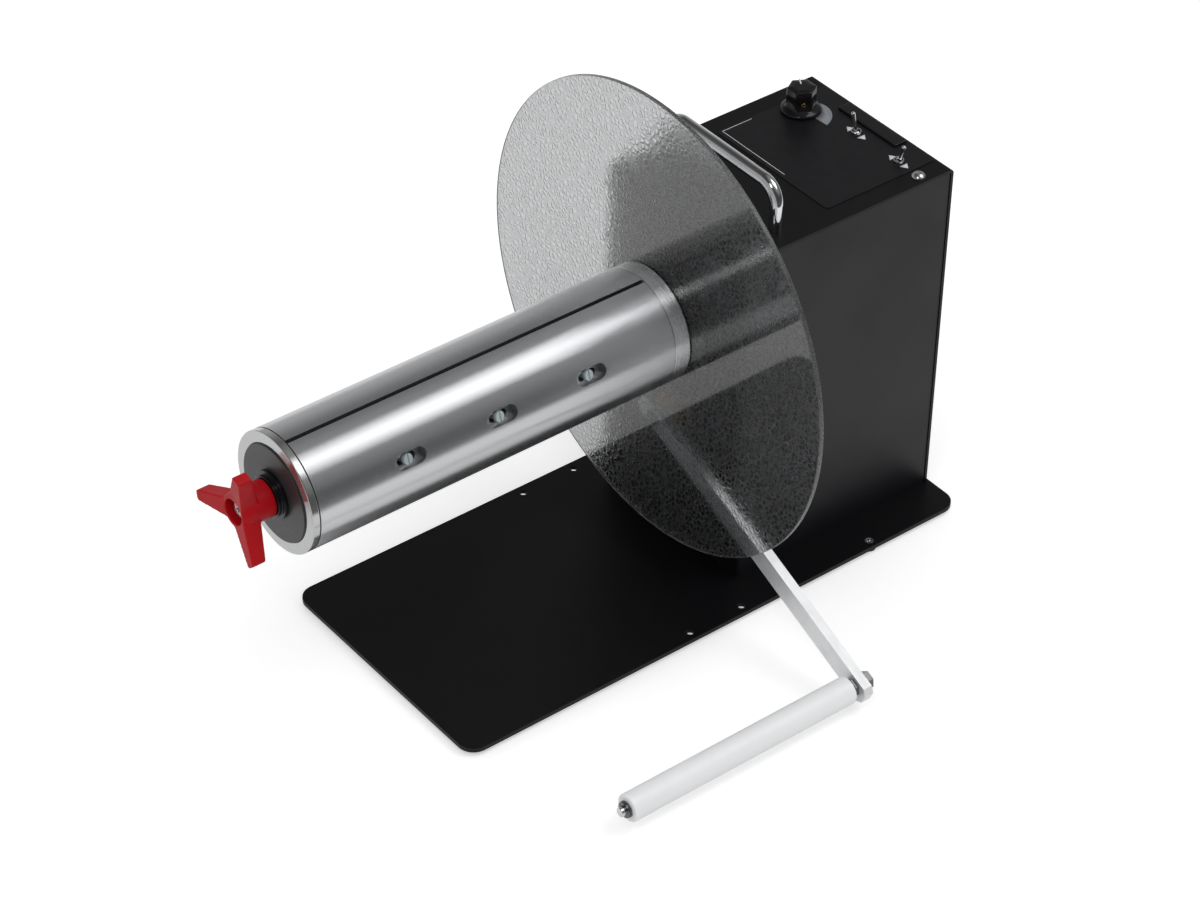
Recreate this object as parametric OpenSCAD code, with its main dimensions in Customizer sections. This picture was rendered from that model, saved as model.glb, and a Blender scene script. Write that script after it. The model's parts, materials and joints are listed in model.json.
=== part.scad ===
// Powered label unwinder with an expanding chuck for 3-inch cores, a clear side flange and a tension arm.
// X runs to the right, Y to the back, Z up. The origin is the middle of the base plate's underside.

/* [Base plate] */
// How far the base plate stands out on each side of the box
base_margin = 25.5; // [22:0.5:50]
// Depth of the base plate, front to back
base_d = 381; // [380:1:460]
// Thickness of the base plate
base_t = 3; // [3:0.5:6]
// Radius of the plate's corners
base_corner_r = 11; // [6:1:20]
// Diameter of the four mounting holes
mount_hole_d = 5; // [3:0.5:6]
// Distance from a mounting hole to the plate's side edge
mount_hole_edge = 6; // [5:0.5:10]
// Distance between two mounting holes along the side
mount_hole_pitch = 40; // [20:1:60]
// How far the mounting holes' middle lies in front of the plate's middle
mount_hole_forward = 1.5; // [0:0.5:20]

/* [Rubber feet] */
// Diameter of a foot
foot_d = 9; // [8:0.2:12]
// Height of a foot
foot_h = 3; // [2:0.5:6]
// Distance from a foot's middle to the plate's side edge
foot_edge = 5.5; // [5:0.5:12]
// How far the rear feet lie behind the plate's middle
rear_foot_back = 121; // [100:1:150]
// Distance from the front feet to the plate's front edge
front_foot_inset = 12; // [8:1:20]
// Head diameter of the screws in the rear feet
foot_screw_head_d = 5.6; // [5:0.1:6]
// Shank diameter of the screws in the rear feet
foot_screw_d = 3; // [2:0.1:4]

/* [Box] */
// Width of the sheet-metal box
box_w = 127; // [124:1:160]
// Depth of the box, front to back
box_d = 156; // [154:1:170]
// Height of the box above the spindle's axis
box_headroom = 70.5; // [68:0.5:100]
// How far the box's front lies behind the plate's middle
box_front = 32.5; // [30:0.5:40]
// Thickness of all sheet metal
sheet_t = 2; // [1:0.1:2.5]
// Outer radius of the cover's bends
bend_r = 3; // [2.6:0.1:6]
// How far the side panels sit behind the cover's edges
panel_recess = 0.5; // [0.2:0.1:2]
// Width of the side panels' flanges
panel_flange = 10; // [9.8:0.1:10.4]
// Side gap between a panel and the cover
panel_gap = 0.3; // [0.1:0.1:1]
// Distance from a top screw to the box's side
top_screw_edge = 7.1; // [6.6:0.1:9]
// Distance from a rear top screw to the box's rear
top_screw_inset = 21.9; // [18:0.1:40]
// Distance from a front top screw to the front end of the side panels' flanges
top_screw_set = 4.2; // [3.9:0.1:6]
// Head diameter of the top screws
top_screw_head_d = 9; // [7:0.1:9.5]
// Head height of the top screws
top_screw_head_h = 2.6; // [1.5:0.1:4]
// Shank diameter of the top screws
top_screw_d = 5; // [3:0.1:5]
// Length of the top screws under the head
top_screw_len = 10; // [6:0.5:16]
// Head diameter of the countersunk screws under the base plate
base_screw_head_d = 7.6; // [6:0.1:8]
// Shank diameter of the countersunk screws
base_screw_d = 4; // [3:0.1:4]
// Length of the countersunk screws
base_screw_len = 12; // [8:0.5:16]

/* [Carry handle] */
// Diameter of the handle's rod
handle_rod_d = 8.5; // [8:0.5:12]
// Distance between the handle's legs, middle to middle
handle_span = 96; // [70:1:104]
// Height of the rod's middle over the top of the box
handle_h = 29.5; // [28:0.5:45]
// Bend radius of the rod's middle line
handle_bend_r = 12; // [9:0.5:20]
// How far the handle lies behind the box's front
handle_back = 30.5; // [16:0.5:50]
// Diameter of the handle's screws
handle_screw_d = 5; // [4:0.1:5]
// Depth of the screw holes in the handle's legs
handle_hole_depth = 12; // [8:1:20]

/* [Spindle] */
// How far the spindle and the box lie left of the plate's middle
axis_left = 2; // [0:0.5:6]
// Diameter of the shaft in the bearings
shaft_d = 20; // [16:0.5:20]
// Diameter of the shaft in the chuck
chuck_shaft_d = 28; // [27:0.5:29]
// Diameter of the bore in the shaft's front end
shaft_bore_d = 19; // [18.6:0.2:20]
// Outer diameter of a ball bearing
bearing_d = 47; // [46:0.5:50]
// Width of a ball bearing
bearing_w = 14; // [12:0.5:16]
// Distance between the two bearings, front face to front face
bearing_pitch = 49.5; // [40:0.5:52]
// Thickness of the plate behind the box's front
front_plate_t = 8; // [6:0.5:10]
// Room on each side between that plate and the box's side
front_plate_side = 7.5; // [4.5:0.5:13.5]
// Gap between that plate and the top of the box
front_plate_gap = 9; // [6:0.5:13]
// Diameter of the bearing block's barrel
block_d = 60; // [56:1:70]
// Width and height of the bearing block's flange
block_flange_w = 72; // [68:1:80]
// Thickness of the bearing block's flange
block_flange_t = 8; // [5:0.5:12]
// Distance between the bearing block's screws
block_screw_pitch = 52; // [50:1:58]
// Radial clearance of a turning or sliding fit
running_fit = 0.05; // [0.03:0.01:0.08]
// Gap between faces that pass each other
pass_gap = 0.3; // [0.2:0.05:0.6]

/* [Chuck] */
// Diameter of the closed chuck, which fits a 3-inch core
chuck_d = 75; // [74:0.5:80]
// Length of the shells' space between the two rings
shell_span = 251.5; // [251:0.5:270]
// Wall thickness of a shell
shell_t = 6; // [5.5:0.1:6.5]
// Width of the gap between two shells
shell_gap = 2.6; // [1.5:0.1:4]
// How far the first shell's middle lies above the right-hand side, in degrees
chuck_turn = 21.5; // [0:0.5:60]
// Thickness of the front ring
front_ring_t = 5; // [4.5:0.5:8]
// Thickness of the rear ring
rear_ring_t = 10.5; // [8:0.5:14]
// Distance from the shells' front end to the first slot's middle
first_slot = 63; // [60:0.5:66]
// Distance between two slots
slot_pitch = 63.8; // [62:0.1:66]
// Length of a slot
slot_l = 21; // [17:0.5:24]
// Width of a slot
slot_w = 9.8; // [8:0.1:12]
// Diameter of the screw heads in the slots
shell_screw_head_d = 6.6; // [6:0.1:7.5]
// Head height of these screws
shell_screw_head_h = 2.4; // [1.5:0.1:3]
// Shank diameter of these screws
shell_screw_d = 4; // [3:0.1:4.5]
// Depth of these screws in the wedge core
shell_screw_bite = 8; // [5:0.5:8]
// How far a closed chuck's screws lie in front of their slots' middle
screw_forward = 0.5; // [0:0.5:3]
// Rise of a wedge for each millimetre of its length
wedge_slope = 0.2; // [0.15:0.01:0.21]
// Length of one wedge
wedge_l = 48; // [46:1:50]
// Width of a wedge
wedge_w = 20; // [16:0.5:21]
// Travel of the wedge core
wedge_travel = 5; // [3:0.5:5]

/* [Flange] */
// Diameter of the clear flange, which also sets the height of the spindle and the box
flange_d = 305; // [280:1:330]
// Gap between the clear flange and the base plate
flange_clearance = 15; // [12:0.5:30]
// Thickness of the clear flange
flange_t = 3; // [2:0.5:4]
// Distance between the clear flange and the box
flange_standoff = 18; // [17.9:0.1:20]
// Thickness of the dark gasket in front of it
gasket_t = 0.5; // [0.3:0.1:1]
// Diameter of the hub behind it
hub_d = 68; // [64:1:74]
// Thickness of the hub
hub_t = 8; // [6:0.5:9]
// Circle on which the flange screws lie
flange_screw_circle = 50; // [46:1:52]
// Number of flange screws
flange_screws_n = 6; // [3:1:8]

/* [Wing knob] */
// Diameter of the dark end disc
end_disc_d = 60; // [50:1:64]
// How far the end disc stands in front of the front ring
end_disc_proud = 1; // [0.5:0.1:2]
// Length of the black collar in front of it
collar_l = 5; // [3:0.5:8]
// Diameter of the collar
collar_d = 30; // [28:1:40]
// Diameter of the knob's hub
knob_hub_d = 23; // [20:0.5:26]
// Length of the knob from its rear face to its front face
knob_l = 21.7; // [20:0.1:26]
// Thickness of the knob's arms
knob_arm_t = 11.5; // [9:0.5:13]
// Distance from the axis to the tip of an arm
knob_arm_reach = 32.3; // [30:0.1:40]
// How far the arms' tips stand in front of the hub
knob_arm_rise = 3.9; // [0:0.1:6]
// Thickness of an arm at its tip
knob_tip_t = 8.8; // [6:0.1:11]
// Diameter of the recess in the knob's front
knob_recess_d = 16.2; // [12:0.2:17]
// Direction of the first arm over the right-hand side, in degrees
knob_turn = 71; // [0:1:120]
// Diameter of the draw screw
draw_screw_d = 12; // [11:0.5:13]

/* [Tension arm] */
// Height of the arm's pivot over the plate's underside
arm_pivot_h = 96.4; // [94:0.2:100]
// Distance from the pivot to the roller's axis
arm_l = 206.7; // [200:0.1:215]
// Slope of the resting arm below the level, in degrees
arm_droop = 23.9; // [20:0.1:25]
// Width of the arm bar
arm_w = 14; // [12:0.5:16]
// Thickness of the arm bar
arm_t = 6.3; // [5:0.1:7]
// Gap between the clear flange and the arm
arm_gap = 2.5; // [2:0.1:3]
// Distance from the pivot to the arm's upper end
arm_tail = 14; // [12:0.5:18]
// Distance from the roller's axis to the arm's lower end
arm_nose = 10; // [8:0.5:14]
// Length of the cut corners at the arm's ends
arm_chamfer = 3.5; // [2:0.5:5]
// Diameter of the arm's shaft
arm_shaft_d = 12; // [10:0.5:13]
// Travel of the arm, in degrees
arm_travel = 40; // [20:1:42]
// Diameter of the white roller
roller_d = 17.5; // [14:0.5:20]
// Length of the white roller
roller_l = 165; // [120:1:175]
// Distance between the roller and the arm
roller_gap = 4.5; // [4.2:0.1:6]
// Diameter of the roller's shaft
roller_shaft_d = 6; // [5:0.5:8]

/* [Controls] */
// Distance from the torque knob to the box's left side
torque_knob_in = 24.5; // [22:0.5:30]
// Distance from the torque knob to the box's rear
torque_knob_fore = 32; // [30:0.5:40]
// Diameter of the torque knob's skirt
torque_skirt_d = 25; // [22:0.5:28]
// Diameter of the torque knob's grip at its top
torque_grip_d = 18; // [16:0.5:20]
// Height of the torque knob
torque_knob_h = 16.4; // [14:0.2:20]
// Direction of the torque knob's pointer over the right-hand side, in degrees
torque_pointer_turn = 150; // [90:1:180]
// Distance from the direction switch to the box's left side
direction_switch_in = 64; // [60:0.5:70]
// Distance from the torque switch to the box's left side
torque_switch_in = 102.2; // [96:0.2:106]
// Distance from both switches to the box's rear
switch_fore = 22; // [21.5:0.5:28]
// Diameter of a switch bushing
bushing_d = 6.6; // [6:0.1:8]
// Length of a switch lever over its pivot
lever_l = 14.5; // [10:0.5:18]
// Lean of a switch lever, in degrees
lever_lean = 16; // [10:1:18]
// Thickness of the control overlay
overlay_t = 0.4; // [0.2:0.1:0.8]
// Width of the control overlay
overlay_w = 101.2; // [96:0.2:104]
// Depth of the control overlay
overlay_d = 85; // [84:1:90]

/* [Drive] */
// Size of a gear tooth: pitch diameter over the number of teeth
gear_module = 1.5; // [1.3:0.05:1.5]
// Teeth of the spindle gear
spindle_teeth = 60; // [56:4:60]
// Teeth of the motor pinion
pinion_teeth = 20; // [18:2:20]
// Width of the spindle gear
gear_w = 10; // [8:0.5:12]
// Diameter of the motor
motor_d = 42; // [36:1:44]
// Length of the motor with its gearbox
motor_l = 58; // [50:1:60]

/* [Hidden] */
$fn = 64;
spokes = [0, 1, 2];
cut = 1;

// Colours, as the photograph shows them
black_paint = "#1b1b1e";
panel_paint = "#36363a";
bright_alu = "#c4c6ca";
steel = "#a6a7aa";
dark_steel = "#5a5b5e";
chrome_colour = "#d8d9dc";
red_plastic = "#a01522";
white_plastic = "#e2e5e8";
clear_plastic = [0.86, 0.87, 0.88, 0.45];
end_disc_grey = "#59595c";
black_plastic = "#141416";
rubber_black = "#19191a";
brass_colour = "#b98d3e";
board_green = "#2c6b3f";

// Sizes that follow from others
base_w = box_w + 2 * base_margin;
axis_h = base_t + flange_clearance + flange_d / 2;
box_h = axis_h + box_headroom - base_t;
front_plate_h = box_h - front_plate_gap;
front_plate_w = box_w - 2 * front_plate_side;

// Places along Y, from the box forward
axis_x = -axis_left;
flange_back = box_front - flange_standoff;
flange_front = flange_back - flange_t;
gasket_front = flange_front - gasket_t;
rear_ring_front = gasket_front - rear_ring_t;
shells_front = rear_ring_front - shell_span;
front_ring_front = shells_front - front_ring_t;
end_disc_front = front_ring_front - end_disc_proud;
end_disc_recess = front_ring_t - 2 * end_disc_proud;
collar_front = end_disc_front - collar_l;
collar_step_l = collar_l / 2;
knob_back = collar_front - pass_gap;
knob_front = knob_back - knob_l;
knob_arms_back = knob_front + knob_arm_t;

// Places along Y, from the box's front inward
box_left = axis_x - box_w / 2;
box_right = axis_x + box_w / 2;
box_back = box_front + box_d;
box_top = base_t + box_h;
plate_front = box_front + sheet_t;
plate_back = plate_front + front_plate_t;
front_bearing = plate_back;
rear_bearing = front_bearing + bearing_pitch;
block_back = rear_bearing + bearing_w;
gear_front = block_back + 2 * sheet_t;
gear_back = gear_front + gear_w;
bracket_front = gear_back + sheet_t;
bracket_t = 3;
motor_front = bracket_front + bracket_t;
shaft_back = gear_back + sheet_t / 2;

// Spindle, from its front end backward
boss_l = 11;
boss_wall = 4;
thrust_flange_t = 3.4;
shaft_front = end_disc_front + end_disc_proud + end_disc_recess + thrust_flange_t + 2 * pass_gap;
boss_back = shells_front + boss_l;
shoulder_back = flange_back + hub_t + gasket_t;
nut_setback = 59;
nut_front = shells_front + nut_setback;
nut_l = 40;
nut_thread_l = 24;
bore_spare = 3;
shaft_bore_back = nut_front + nut_l + wedge_travel + bore_spare;
pin_d = 5;
pin_inset = 8;
pin_y = nut_front + nut_l - pin_inset;
draw_screw_back = nut_front + nut_thread_l - pin_d;
spindle_hole_d = 32;
flange_tap_floor = 2.5;

// Chuck shells and wedges
shell_r = chuck_d / 2;
shell_inner_r = shell_r - shell_t;
slot_depth = 4;
ledge_r = shell_r - slot_depth;
wedge_angle = atan(wedge_slope);
wedge_headroom = 2.5;
wedge_top_r = shell_inner_r - wedge_headroom;
wedge_lead = 26;
wedge_low_r = wedge_top_r - wedge_slope * wedge_l;
wedge_sink = 3;
core_wall = 5;
core_outer_r = chuck_shaft_d / 2 + core_wall;
core_lead = 4;
core_spare = 3;
core_front = boss_back + core_lead;
core_back = rear_ring_front - wedge_travel - core_spare;
shell_wedge_lead = 3;
shell_wedge_tail = 4;
slots = [0, 1, 2];
function slot_y(i) = shells_front + first_slot + i * slot_pitch;
function wedge_start(i) = slot_y(i) - wedge_lead;
function wedge_r(i, y) = wedge_top_r - wedge_slope * (y - wedge_start(i));
function spoke_turn(i) = chuck_turn + 120 * i;
// The slots lean with the wedges, so their floor lies a little in front of their mouth
slot_lean = slot_depth * wedge_slope;

// Play between two small fasteners that lie on each other
screw_play = 0.1;

// Arm and roller, from the flange backward
arm_front = flange_back + arm_gap;
arm_back = arm_front + arm_t;
bush_flange_t = 2;
bush_flange_d = 22;
bush_d = 18;
bush_proud = 3.5;
bush_back = plate_back + bush_proud;
stop_lever_t = 6;
stop_lever_front = bush_back + pass_gap;
stop_lever_back = stop_lever_front + stop_lever_t;
stop_lever_d = 18;
stop_lever_reach = 24;
stop_lever_w = 6;
stop_pin_d = 5;
stop_pin_reach = 20;
stop_pin_l = 18;
// Angle that half the lever, half a pin and the gap between them fill, seen from the pivot
stop_angle = asin((stop_lever_w / 2 + stop_pin_d / 2 + pass_gap) / stop_pin_reach);
sensor_shaft_d = 6;
sensor_plate_t = 2;
spring_room = 14;
sensor_front = stop_lever_back + spring_room;
sensor_d = 22;
sensor_l = 10;
sensor_post_d = 6;
sensor_post_reach = 18;
sensor_plate_h = 24;
spring_wire_d = 1.4;
spring_play = 0.4;
spring_r = arm_shaft_d / 2 + spring_play + spring_wire_d / 2;
spring_turns = 5;
spring_pitch = 1.8;
spring_tang = 9;
spring_setback = 1.6;
spring_front = stop_lever_back + spring_setback;
roller_back = arm_front - roller_gap;
roller_front = roller_back - roller_l;
washer_t = 1.2;
nut_flats = 10;
nut_h = roller_gap - washer_t - pass_gap - screw_play;
rear_nut_h = 5;
washer_d = 13;
front_washer_d = 10.5;
clip_t = 0.8;
clip_d = 10;
clip_back = roller_front - pass_gap - washer_t - screw_play;
roller_shaft_proud = 5.5;
roller_shaft_front = roller_front - roller_shaft_proud;
pivot_screw_head_d = 12;
pivot_screw_d = 6;
pivot_screw_l = 20;

// Controls on top
overlay_top = box_top + overlay_t;
overlay_corner_r = 3;
overlay_edge = 12.5;
overlay_left = box_left + overlay_edge;
overlay_back = box_back - bend_r;
overlay_front = overlay_back - overlay_d;
badge_w = 52;
badge_d = 9.5;
badge_t = 1.4;
badge_edge = 1;
badge_back = overlay_back - badge_edge;
torque_knob_x = box_left + torque_knob_in;
torque_knob_y = box_back - torque_knob_fore;
torque_skirt_h = 3.6;
torque_knob_z = overlay_top + pass_gap;
torque_recess_d = 16;
torque_recess_h = 4;
pot_d = 16;
pot_h = 9;
pot_shaft_d = 6;
pot_bushing_d = 7;
pot_nut_flats = 10;
pot_nut_h = 2;
pot_bushing_h = overlay_t + pot_nut_h + pass_gap;
pot_shaft_below = 8;
pot_shaft_above = 12;
set_screw_d = 3;
set_screw_z = 7;
switch_y = box_back - switch_fore;
direction_switch_x = box_left + direction_switch_in;
torque_switch_x = box_left + torque_switch_in;
switch_w = 8;
switch_body_l = 13;
switch_body_h = 11;
bushing_h = 1.8;
bushing_bore_d = 5;
lever_foot_d = 1.8;
lever_tip_d = 2.8;
lever_pivot_depth = 0.5;
lever_pivot_z = box_top - lever_pivot_depth;
lever_pivot_d = 4;
lever_pivot_w = 3;

// Drive
pressure_angle = 20;
backlash = 0.3;
spindle_pitch_r = gear_module * spindle_teeth / 2;
pinion_pitch_r = gear_module * pinion_teeth / 2;
motor_z = axis_h - spindle_pitch_r - pinion_pitch_r;
motor_shaft_d = 8;
motor_boss_d = 16;
motor_screw_pitch = 30;
motor_screw_d = 3;
gearbox_l = 22;
gearbox_d = motor_d + 2;
bracket_w = 76;
bracket_rim = 8;
bracket_h = motor_z + motor_d / 2 + bracket_rim - base_t;
bracket_foot_l = 26;
gear_hub_d = 34;
pinion_w = gear_w - 1;

// Board and inlet
board_t = 1.6;
board_l = 90;
board_h = 70;
board_lift = 12;
board_setback = 18;
board_front = plate_back + board_setback;
standoff_l = 8;
standoff_d = 6;
standoff_inset = 6;
board_x = box_left + panel_recess + sheet_t + standoff_l;
inlet_inset = 23.5;
inlet_h = 32;
inlet_x = box_left + inlet_inset;
inlet_z = base_t + inlet_h;
inlet_d = 14;
inlet_body_d = 11;
inlet_l = 16;
inlet_flange_t = 2;
inlet_bore_d = 6;
inlet_pin_d = 2;

// Places of fasteners
mount_hole_x = base_w / 2 - mount_hole_edge;
mount_holes = [for (x = [-mount_hole_x, mount_hole_x], side = [-1, 1])
    [x, side * mount_hole_pitch / 2 - mount_hole_forward]];
rear_foot_x = base_w / 2 - foot_edge;
rear_feet = [for (side = [-1, 1]) [side * rear_foot_x, rear_foot_back]];
front_feet = [for (side = [-1, 1])
    [side * (base_w / 2 - front_foot_inset), front_foot_inset - base_d / 2]];
panel_flange_start = plate_back + panel_gap;
cover_screw_rows = [panel_flange_start + top_screw_set, box_back - top_screw_inset];
cover_screws = [for (x = [box_left + top_screw_edge, box_right - top_screw_edge], y = cover_screw_rows)
    [x, y]];
plate_screw_x = 35;
bracket_screw_x = 25;
bracket_screw_inset = 8;
bracket_screw_y = bracket_front + bracket_foot_l - bracket_screw_inset;
base_screws_at = concat(cover_screws,
    [for (side = [-1, 1]) [axis_x + side * plate_screw_x, (plate_front + plate_back) / 2]],
    [for (side = [-1, 1]) [axis_x + side * bracket_screw_x, bracket_screw_y]]);
block_screws = [for (x = [-1, 1], z = [-1, 1])
    [axis_x + x * block_screw_pitch / 2, axis_h + z * block_screw_pitch / 2]];
motor_screws_at = [for (x = [-1, 1], z = [-1, 1])
    [axis_x + x * motor_screw_pitch / 2, motor_z + z * motor_screw_pitch / 2]];
handle_legs = [for (side = [-1, 1]) axis_x + side * handle_span / 2];
handle_y = box_front + handle_back;
block_screw_head_d = 9;
block_screw_head_h = 2.6;
block_screw_d = 5;
flange_screw_head_d = 8.5;
flange_screw_head_h = 2.6;
flange_screw_d = 5;

// A rod along Y
module rod(d, front, back) {
    translate([0, back, 0]) rotate([90, 0, 0]) cylinder(d = d, h = back - front);
}

// A tube along Y
module tube(outer_d, inner_d, front, back) {
    difference() {
        rod(outer_d, front, back);
        rod(inner_d, front - cut, back + cut);
    }
}

// An outline in the XZ plane, made solid along Y
module slab(front, back) {
    translate([0, back, 0]) rotate([90, 0, 0]) linear_extrude(back - front) children();
}

// A box from its left, front, lower corner to the opposite one
module block(from, to) {
    translate(from) cube(to - from);
}

// A place on the spindle's axis
module at_axis() {
    translate([axis_x, 0, axis_h]) children();
}

// A place on the spindle's axis, turned so that Z points along spoke i of the chuck
module at_spoke(i) {
    at_axis() rotate([0, 90 - spoke_turn(i), 0]) children();
}

// A place on the arm's pivot
module at_pivot() {
    translate([axis_x, 0, arm_pivot_h]) children();
}

// The resting arm's own frame: X runs from the pivot to the roller
module at_arm() {
    at_pivot() rotate([0, arm_droop, 0]) children();
}

// A rectangle with round corners, from the origin
module round_rect(w, d, r) {
    translate([r, 0]) square([w - 2 * r, d]);
    translate([0, r]) square([w, d - 2 * r]);
    for (x = [r, w - r], y = [r, d - r]) translate([x, y]) circle(r = r);
}

// A slot with round ends along X
module stadium(l, w) {
    square([l - w, w], center = true);
    for (side = [-1, 1]) translate([side * (l - w) / 2, 0]) circle(d = w);
}

// A hexagonal prism on Z, by its width across flats
module hexagon(flats, h) {
    cylinder(d = flats / cos(30), h = h, $fn = 6);
}

// A cross recess, sunk from Z = 0
module cross_recess(reach, depth) {
    arm = reach / 4;
    for (turn = [0, 90]) rotate([0, 0, turn])
        translate([-reach / 2, -arm / 2, -depth]) cube([reach, arm, depth + cut]);
}

// Width and depth of a cross recess in its screw's head
recess_share = 0.7;

// A countersunk screw that hangs down from Z = 0
module countersunk_screw(head_d, d, l) {
    head_h = (head_d - d) / 2;
    difference() {
        union() {
            translate([0, 0, -head_h]) cylinder(d1 = d, d2 = head_d, h = head_h);
            translate([0, 0, -l]) cylinder(d = d, h = l - head_h / 2);
        }
        cross_recess(head_d * recess_share, head_h * recess_share);
    }
}

// The hole of a countersunk screw, down from Z = 0
module countersunk_hole(head_d, d, l) {
    head_h = (head_d - d) / 2;
    translate([0, 0, -head_h]) cylinder(d1 = d, d2 = head_d, h = head_h);
    translate([0, 0, -l]) cylinder(d = d, h = l + cut);
}

// A button head on Z = 0 with a hexagonal recess and a shank below
module button_screw(head_d, head_h, d, l) {
    ball_r = (head_d * head_d / 4 + head_h * head_h) / (2 * head_h);
    difference() {
        intersection() {
            cylinder(d = head_d, h = head_h);
            translate([0, 0, head_h - ball_r]) sphere(r = ball_r);
        }
        translate([0, 0, head_h / 2]) hexagon(head_d / 3, head_h);
    }
    translate([0, 0, -l]) cylinder(d = d, h = l);
}

// Base plate with its holes
module base_plate() {
    color(black_paint) difference() {
        translate([-base_w / 2, -base_d / 2, 0]) linear_extrude(base_t)
            round_rect(base_w, base_d, base_corner_r);
        for (p = mount_holes) translate([p.x, p.y, -cut]) cylinder(d = mount_hole_d, h = base_t + 2 * cut);
        for (p = rear_feet) translate([p.x, p.y, base_t])
            countersunk_hole(foot_screw_head_d, foot_screw_d, base_t + cut);
        for (p = base_screws_at) translate([p.x, p.y, 0]) mirror([0, 0, 1])
            countersunk_hole(base_screw_head_d, base_screw_d, base_t + cut);
    }
}

// Four feet: the rear pair is screwed on, the front pair is stuck on
module rubber_feet() {
    color(rubber_black) {
        for (p = front_feet) translate([p.x, p.y, -foot_h]) cylinder(d = foot_d, h = foot_h);
        for (p = rear_feet) translate([p.x, p.y, -foot_h]) difference() {
            cylinder(d = foot_d, h = foot_h);
            translate([0, 0, foot_h / 3]) cylinder(d = foot_screw_d, h = foot_h);
        }
    }
}

module rear_foot_screws() {
    color(dark_steel) for (p = rear_feet) translate([p.x, p.y, base_t])
        countersunk_screw(foot_screw_head_d, foot_screw_d, base_t + foot_h * 2 / 3);
}

// Side view of the cover, drawn in by a distance and lowered by another
module cover_outline(inset, drop) {
    r = bend_r - inset;
    w = box_d - 2 * inset;
    h = box_h - inset + drop;
    translate([box_front + inset, base_t - drop]) {
        square([w, h - r]);
        translate([r, 0]) square([w - 2 * r, h]);
        for (y = [r, w - r]) translate([y, h - r]) circle(r = r);
    }
}

// One bent sheet: front, top and rear of the box
module box_cover() {
    color(black_paint) difference() {
        translate([box_left, 0, 0]) rotate([90, 0, 90]) linear_extrude(box_w) difference() {
            cover_outline(0, 0);
            cover_outline(sheet_t, cut);
        }
        at_axis() rod(spindle_hole_d, box_front - cut, plate_front + cut);
        at_pivot() rod(bush_d, box_front - cut, plate_front + cut);
        for (p = block_screws) translate([p.x, 0, p.y])
            rod(block_screw_d, box_front - cut, plate_front + cut);
        for (p = cover_screws) translate([p.x, p.y, box_top - sheet_t - cut])
            cylinder(d = top_screw_d, h = sheet_t + 2 * cut);
        for (x = handle_legs) translate([x, handle_y, box_top - sheet_t - cut])
            cylinder(d = handle_screw_d, h = sheet_t + 2 * cut);
        translate([torque_knob_x, torque_knob_y, box_top - sheet_t - cut])
            cylinder(d = pot_bushing_d, h = sheet_t + 2 * cut);
        for (x = [direction_switch_x, torque_switch_x]) translate([x, switch_y, box_top - sheet_t - cut])
            cylinder(d = bushing_d, h = sheet_t + 2 * cut);
        translate([inlet_x, 0, inlet_z]) rod(inlet_body_d, box_back - sheet_t - cut, box_back + cut);
    }
}

// Right side panel with its top and bottom flanges; the left one is its mirror image
module side_panel() {
    outer_x = box_right - panel_recess;
    top_z = box_top - sheet_t;
    flange_end = box_back - sheet_t - panel_gap - bend_r;
    difference() {
        union() {
            block([outer_x - sheet_t, plate_front + panel_gap, base_t],
                  [outer_x, box_back - sheet_t - panel_gap, top_z - panel_gap]);
            block([outer_x - panel_flange, panel_flange_start, top_z - sheet_t],
                  [outer_x, flange_end, top_z]);
            block([outer_x - panel_flange, panel_flange_start, base_t],
                  [outer_x, flange_end, base_t + sheet_t]);
        }
        for (y = cover_screw_rows) {
            translate([box_right - top_screw_edge, y, top_z - sheet_t - cut])
                cylinder(d = top_screw_d, h = sheet_t + 2 * cut);
            translate([box_right - top_screw_edge, y, base_t - cut])
                cylinder(d = base_screw_d, h = sheet_t + 2 * cut);
        }
    }
}

module right_side_panel() {
    color(panel_paint) side_panel();
}

module left_side_panel() {
    color(panel_paint) translate([2 * axis_x, 0, 0]) mirror([1, 0, 0]) side_panel();
}

module top_screws() {
    color(steel) for (p = cover_screws) translate([p.x, p.y, box_top])
        button_screw(top_screw_head_d, top_screw_head_h, top_screw_d, top_screw_len);
}

// Countersunk screws that come up through the base plate
module base_screws() {
    color(steel) for (p = base_screws_at) translate([p.x, p.y, 0]) mirror([0, 0, 1])
        countersunk_screw(base_screw_head_d, base_screw_d, base_screw_len);
}

// Thick plate behind the box's front that carries the spindle and the arm
module front_plate() {
    color(steel) difference() {
        block([axis_x - front_plate_w / 2, plate_front, base_t],
              [axis_x + front_plate_w / 2, plate_back, base_t + front_plate_h]);
        at_axis() rod(spindle_hole_d, plate_front - cut, plate_back + cut);
        at_pivot() rod(bush_d, plate_front - cut, plate_back + cut);
        for (p = block_screws) translate([p.x, 0, p.y])
            rod(block_screw_d, plate_front - cut, plate_back + cut);
        for (turn = stop_turns) at_stop(turn) rod(stop_pin_d, plate_front - cut, plate_back + cut);
        for (side = [-1, 1]) translate([axis_x + side * plate_screw_x, (plate_front + plate_back) / 2, 0])
            cylinder(d = base_screw_d, h = base_screw_len);
    }
}

// Housing of the two ball bearings
module bearing_block() {
    half = block_flange_w / 2;
    inner_d = bearing_d - 2 * boss_wall;
    color(bright_alu) difference() {
        union() {
            block([axis_x - half, plate_back, axis_h - half],
                  [axis_x + half, plate_back + block_flange_t, axis_h + half]);
            at_axis() rod(block_d, plate_back, block_back);
        }
        at_axis() {
            rod(bearing_d, plate_back - cut, front_bearing + bearing_w);
            rod(inner_d, plate_back, block_back);
            rod(bearing_d, rear_bearing, block_back + cut);
        }
        for (p = block_screws) translate([p.x, 0, p.y])
            rod(block_screw_d, plate_back - cut, plate_back + block_flange_t + cut);
    }
}

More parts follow.
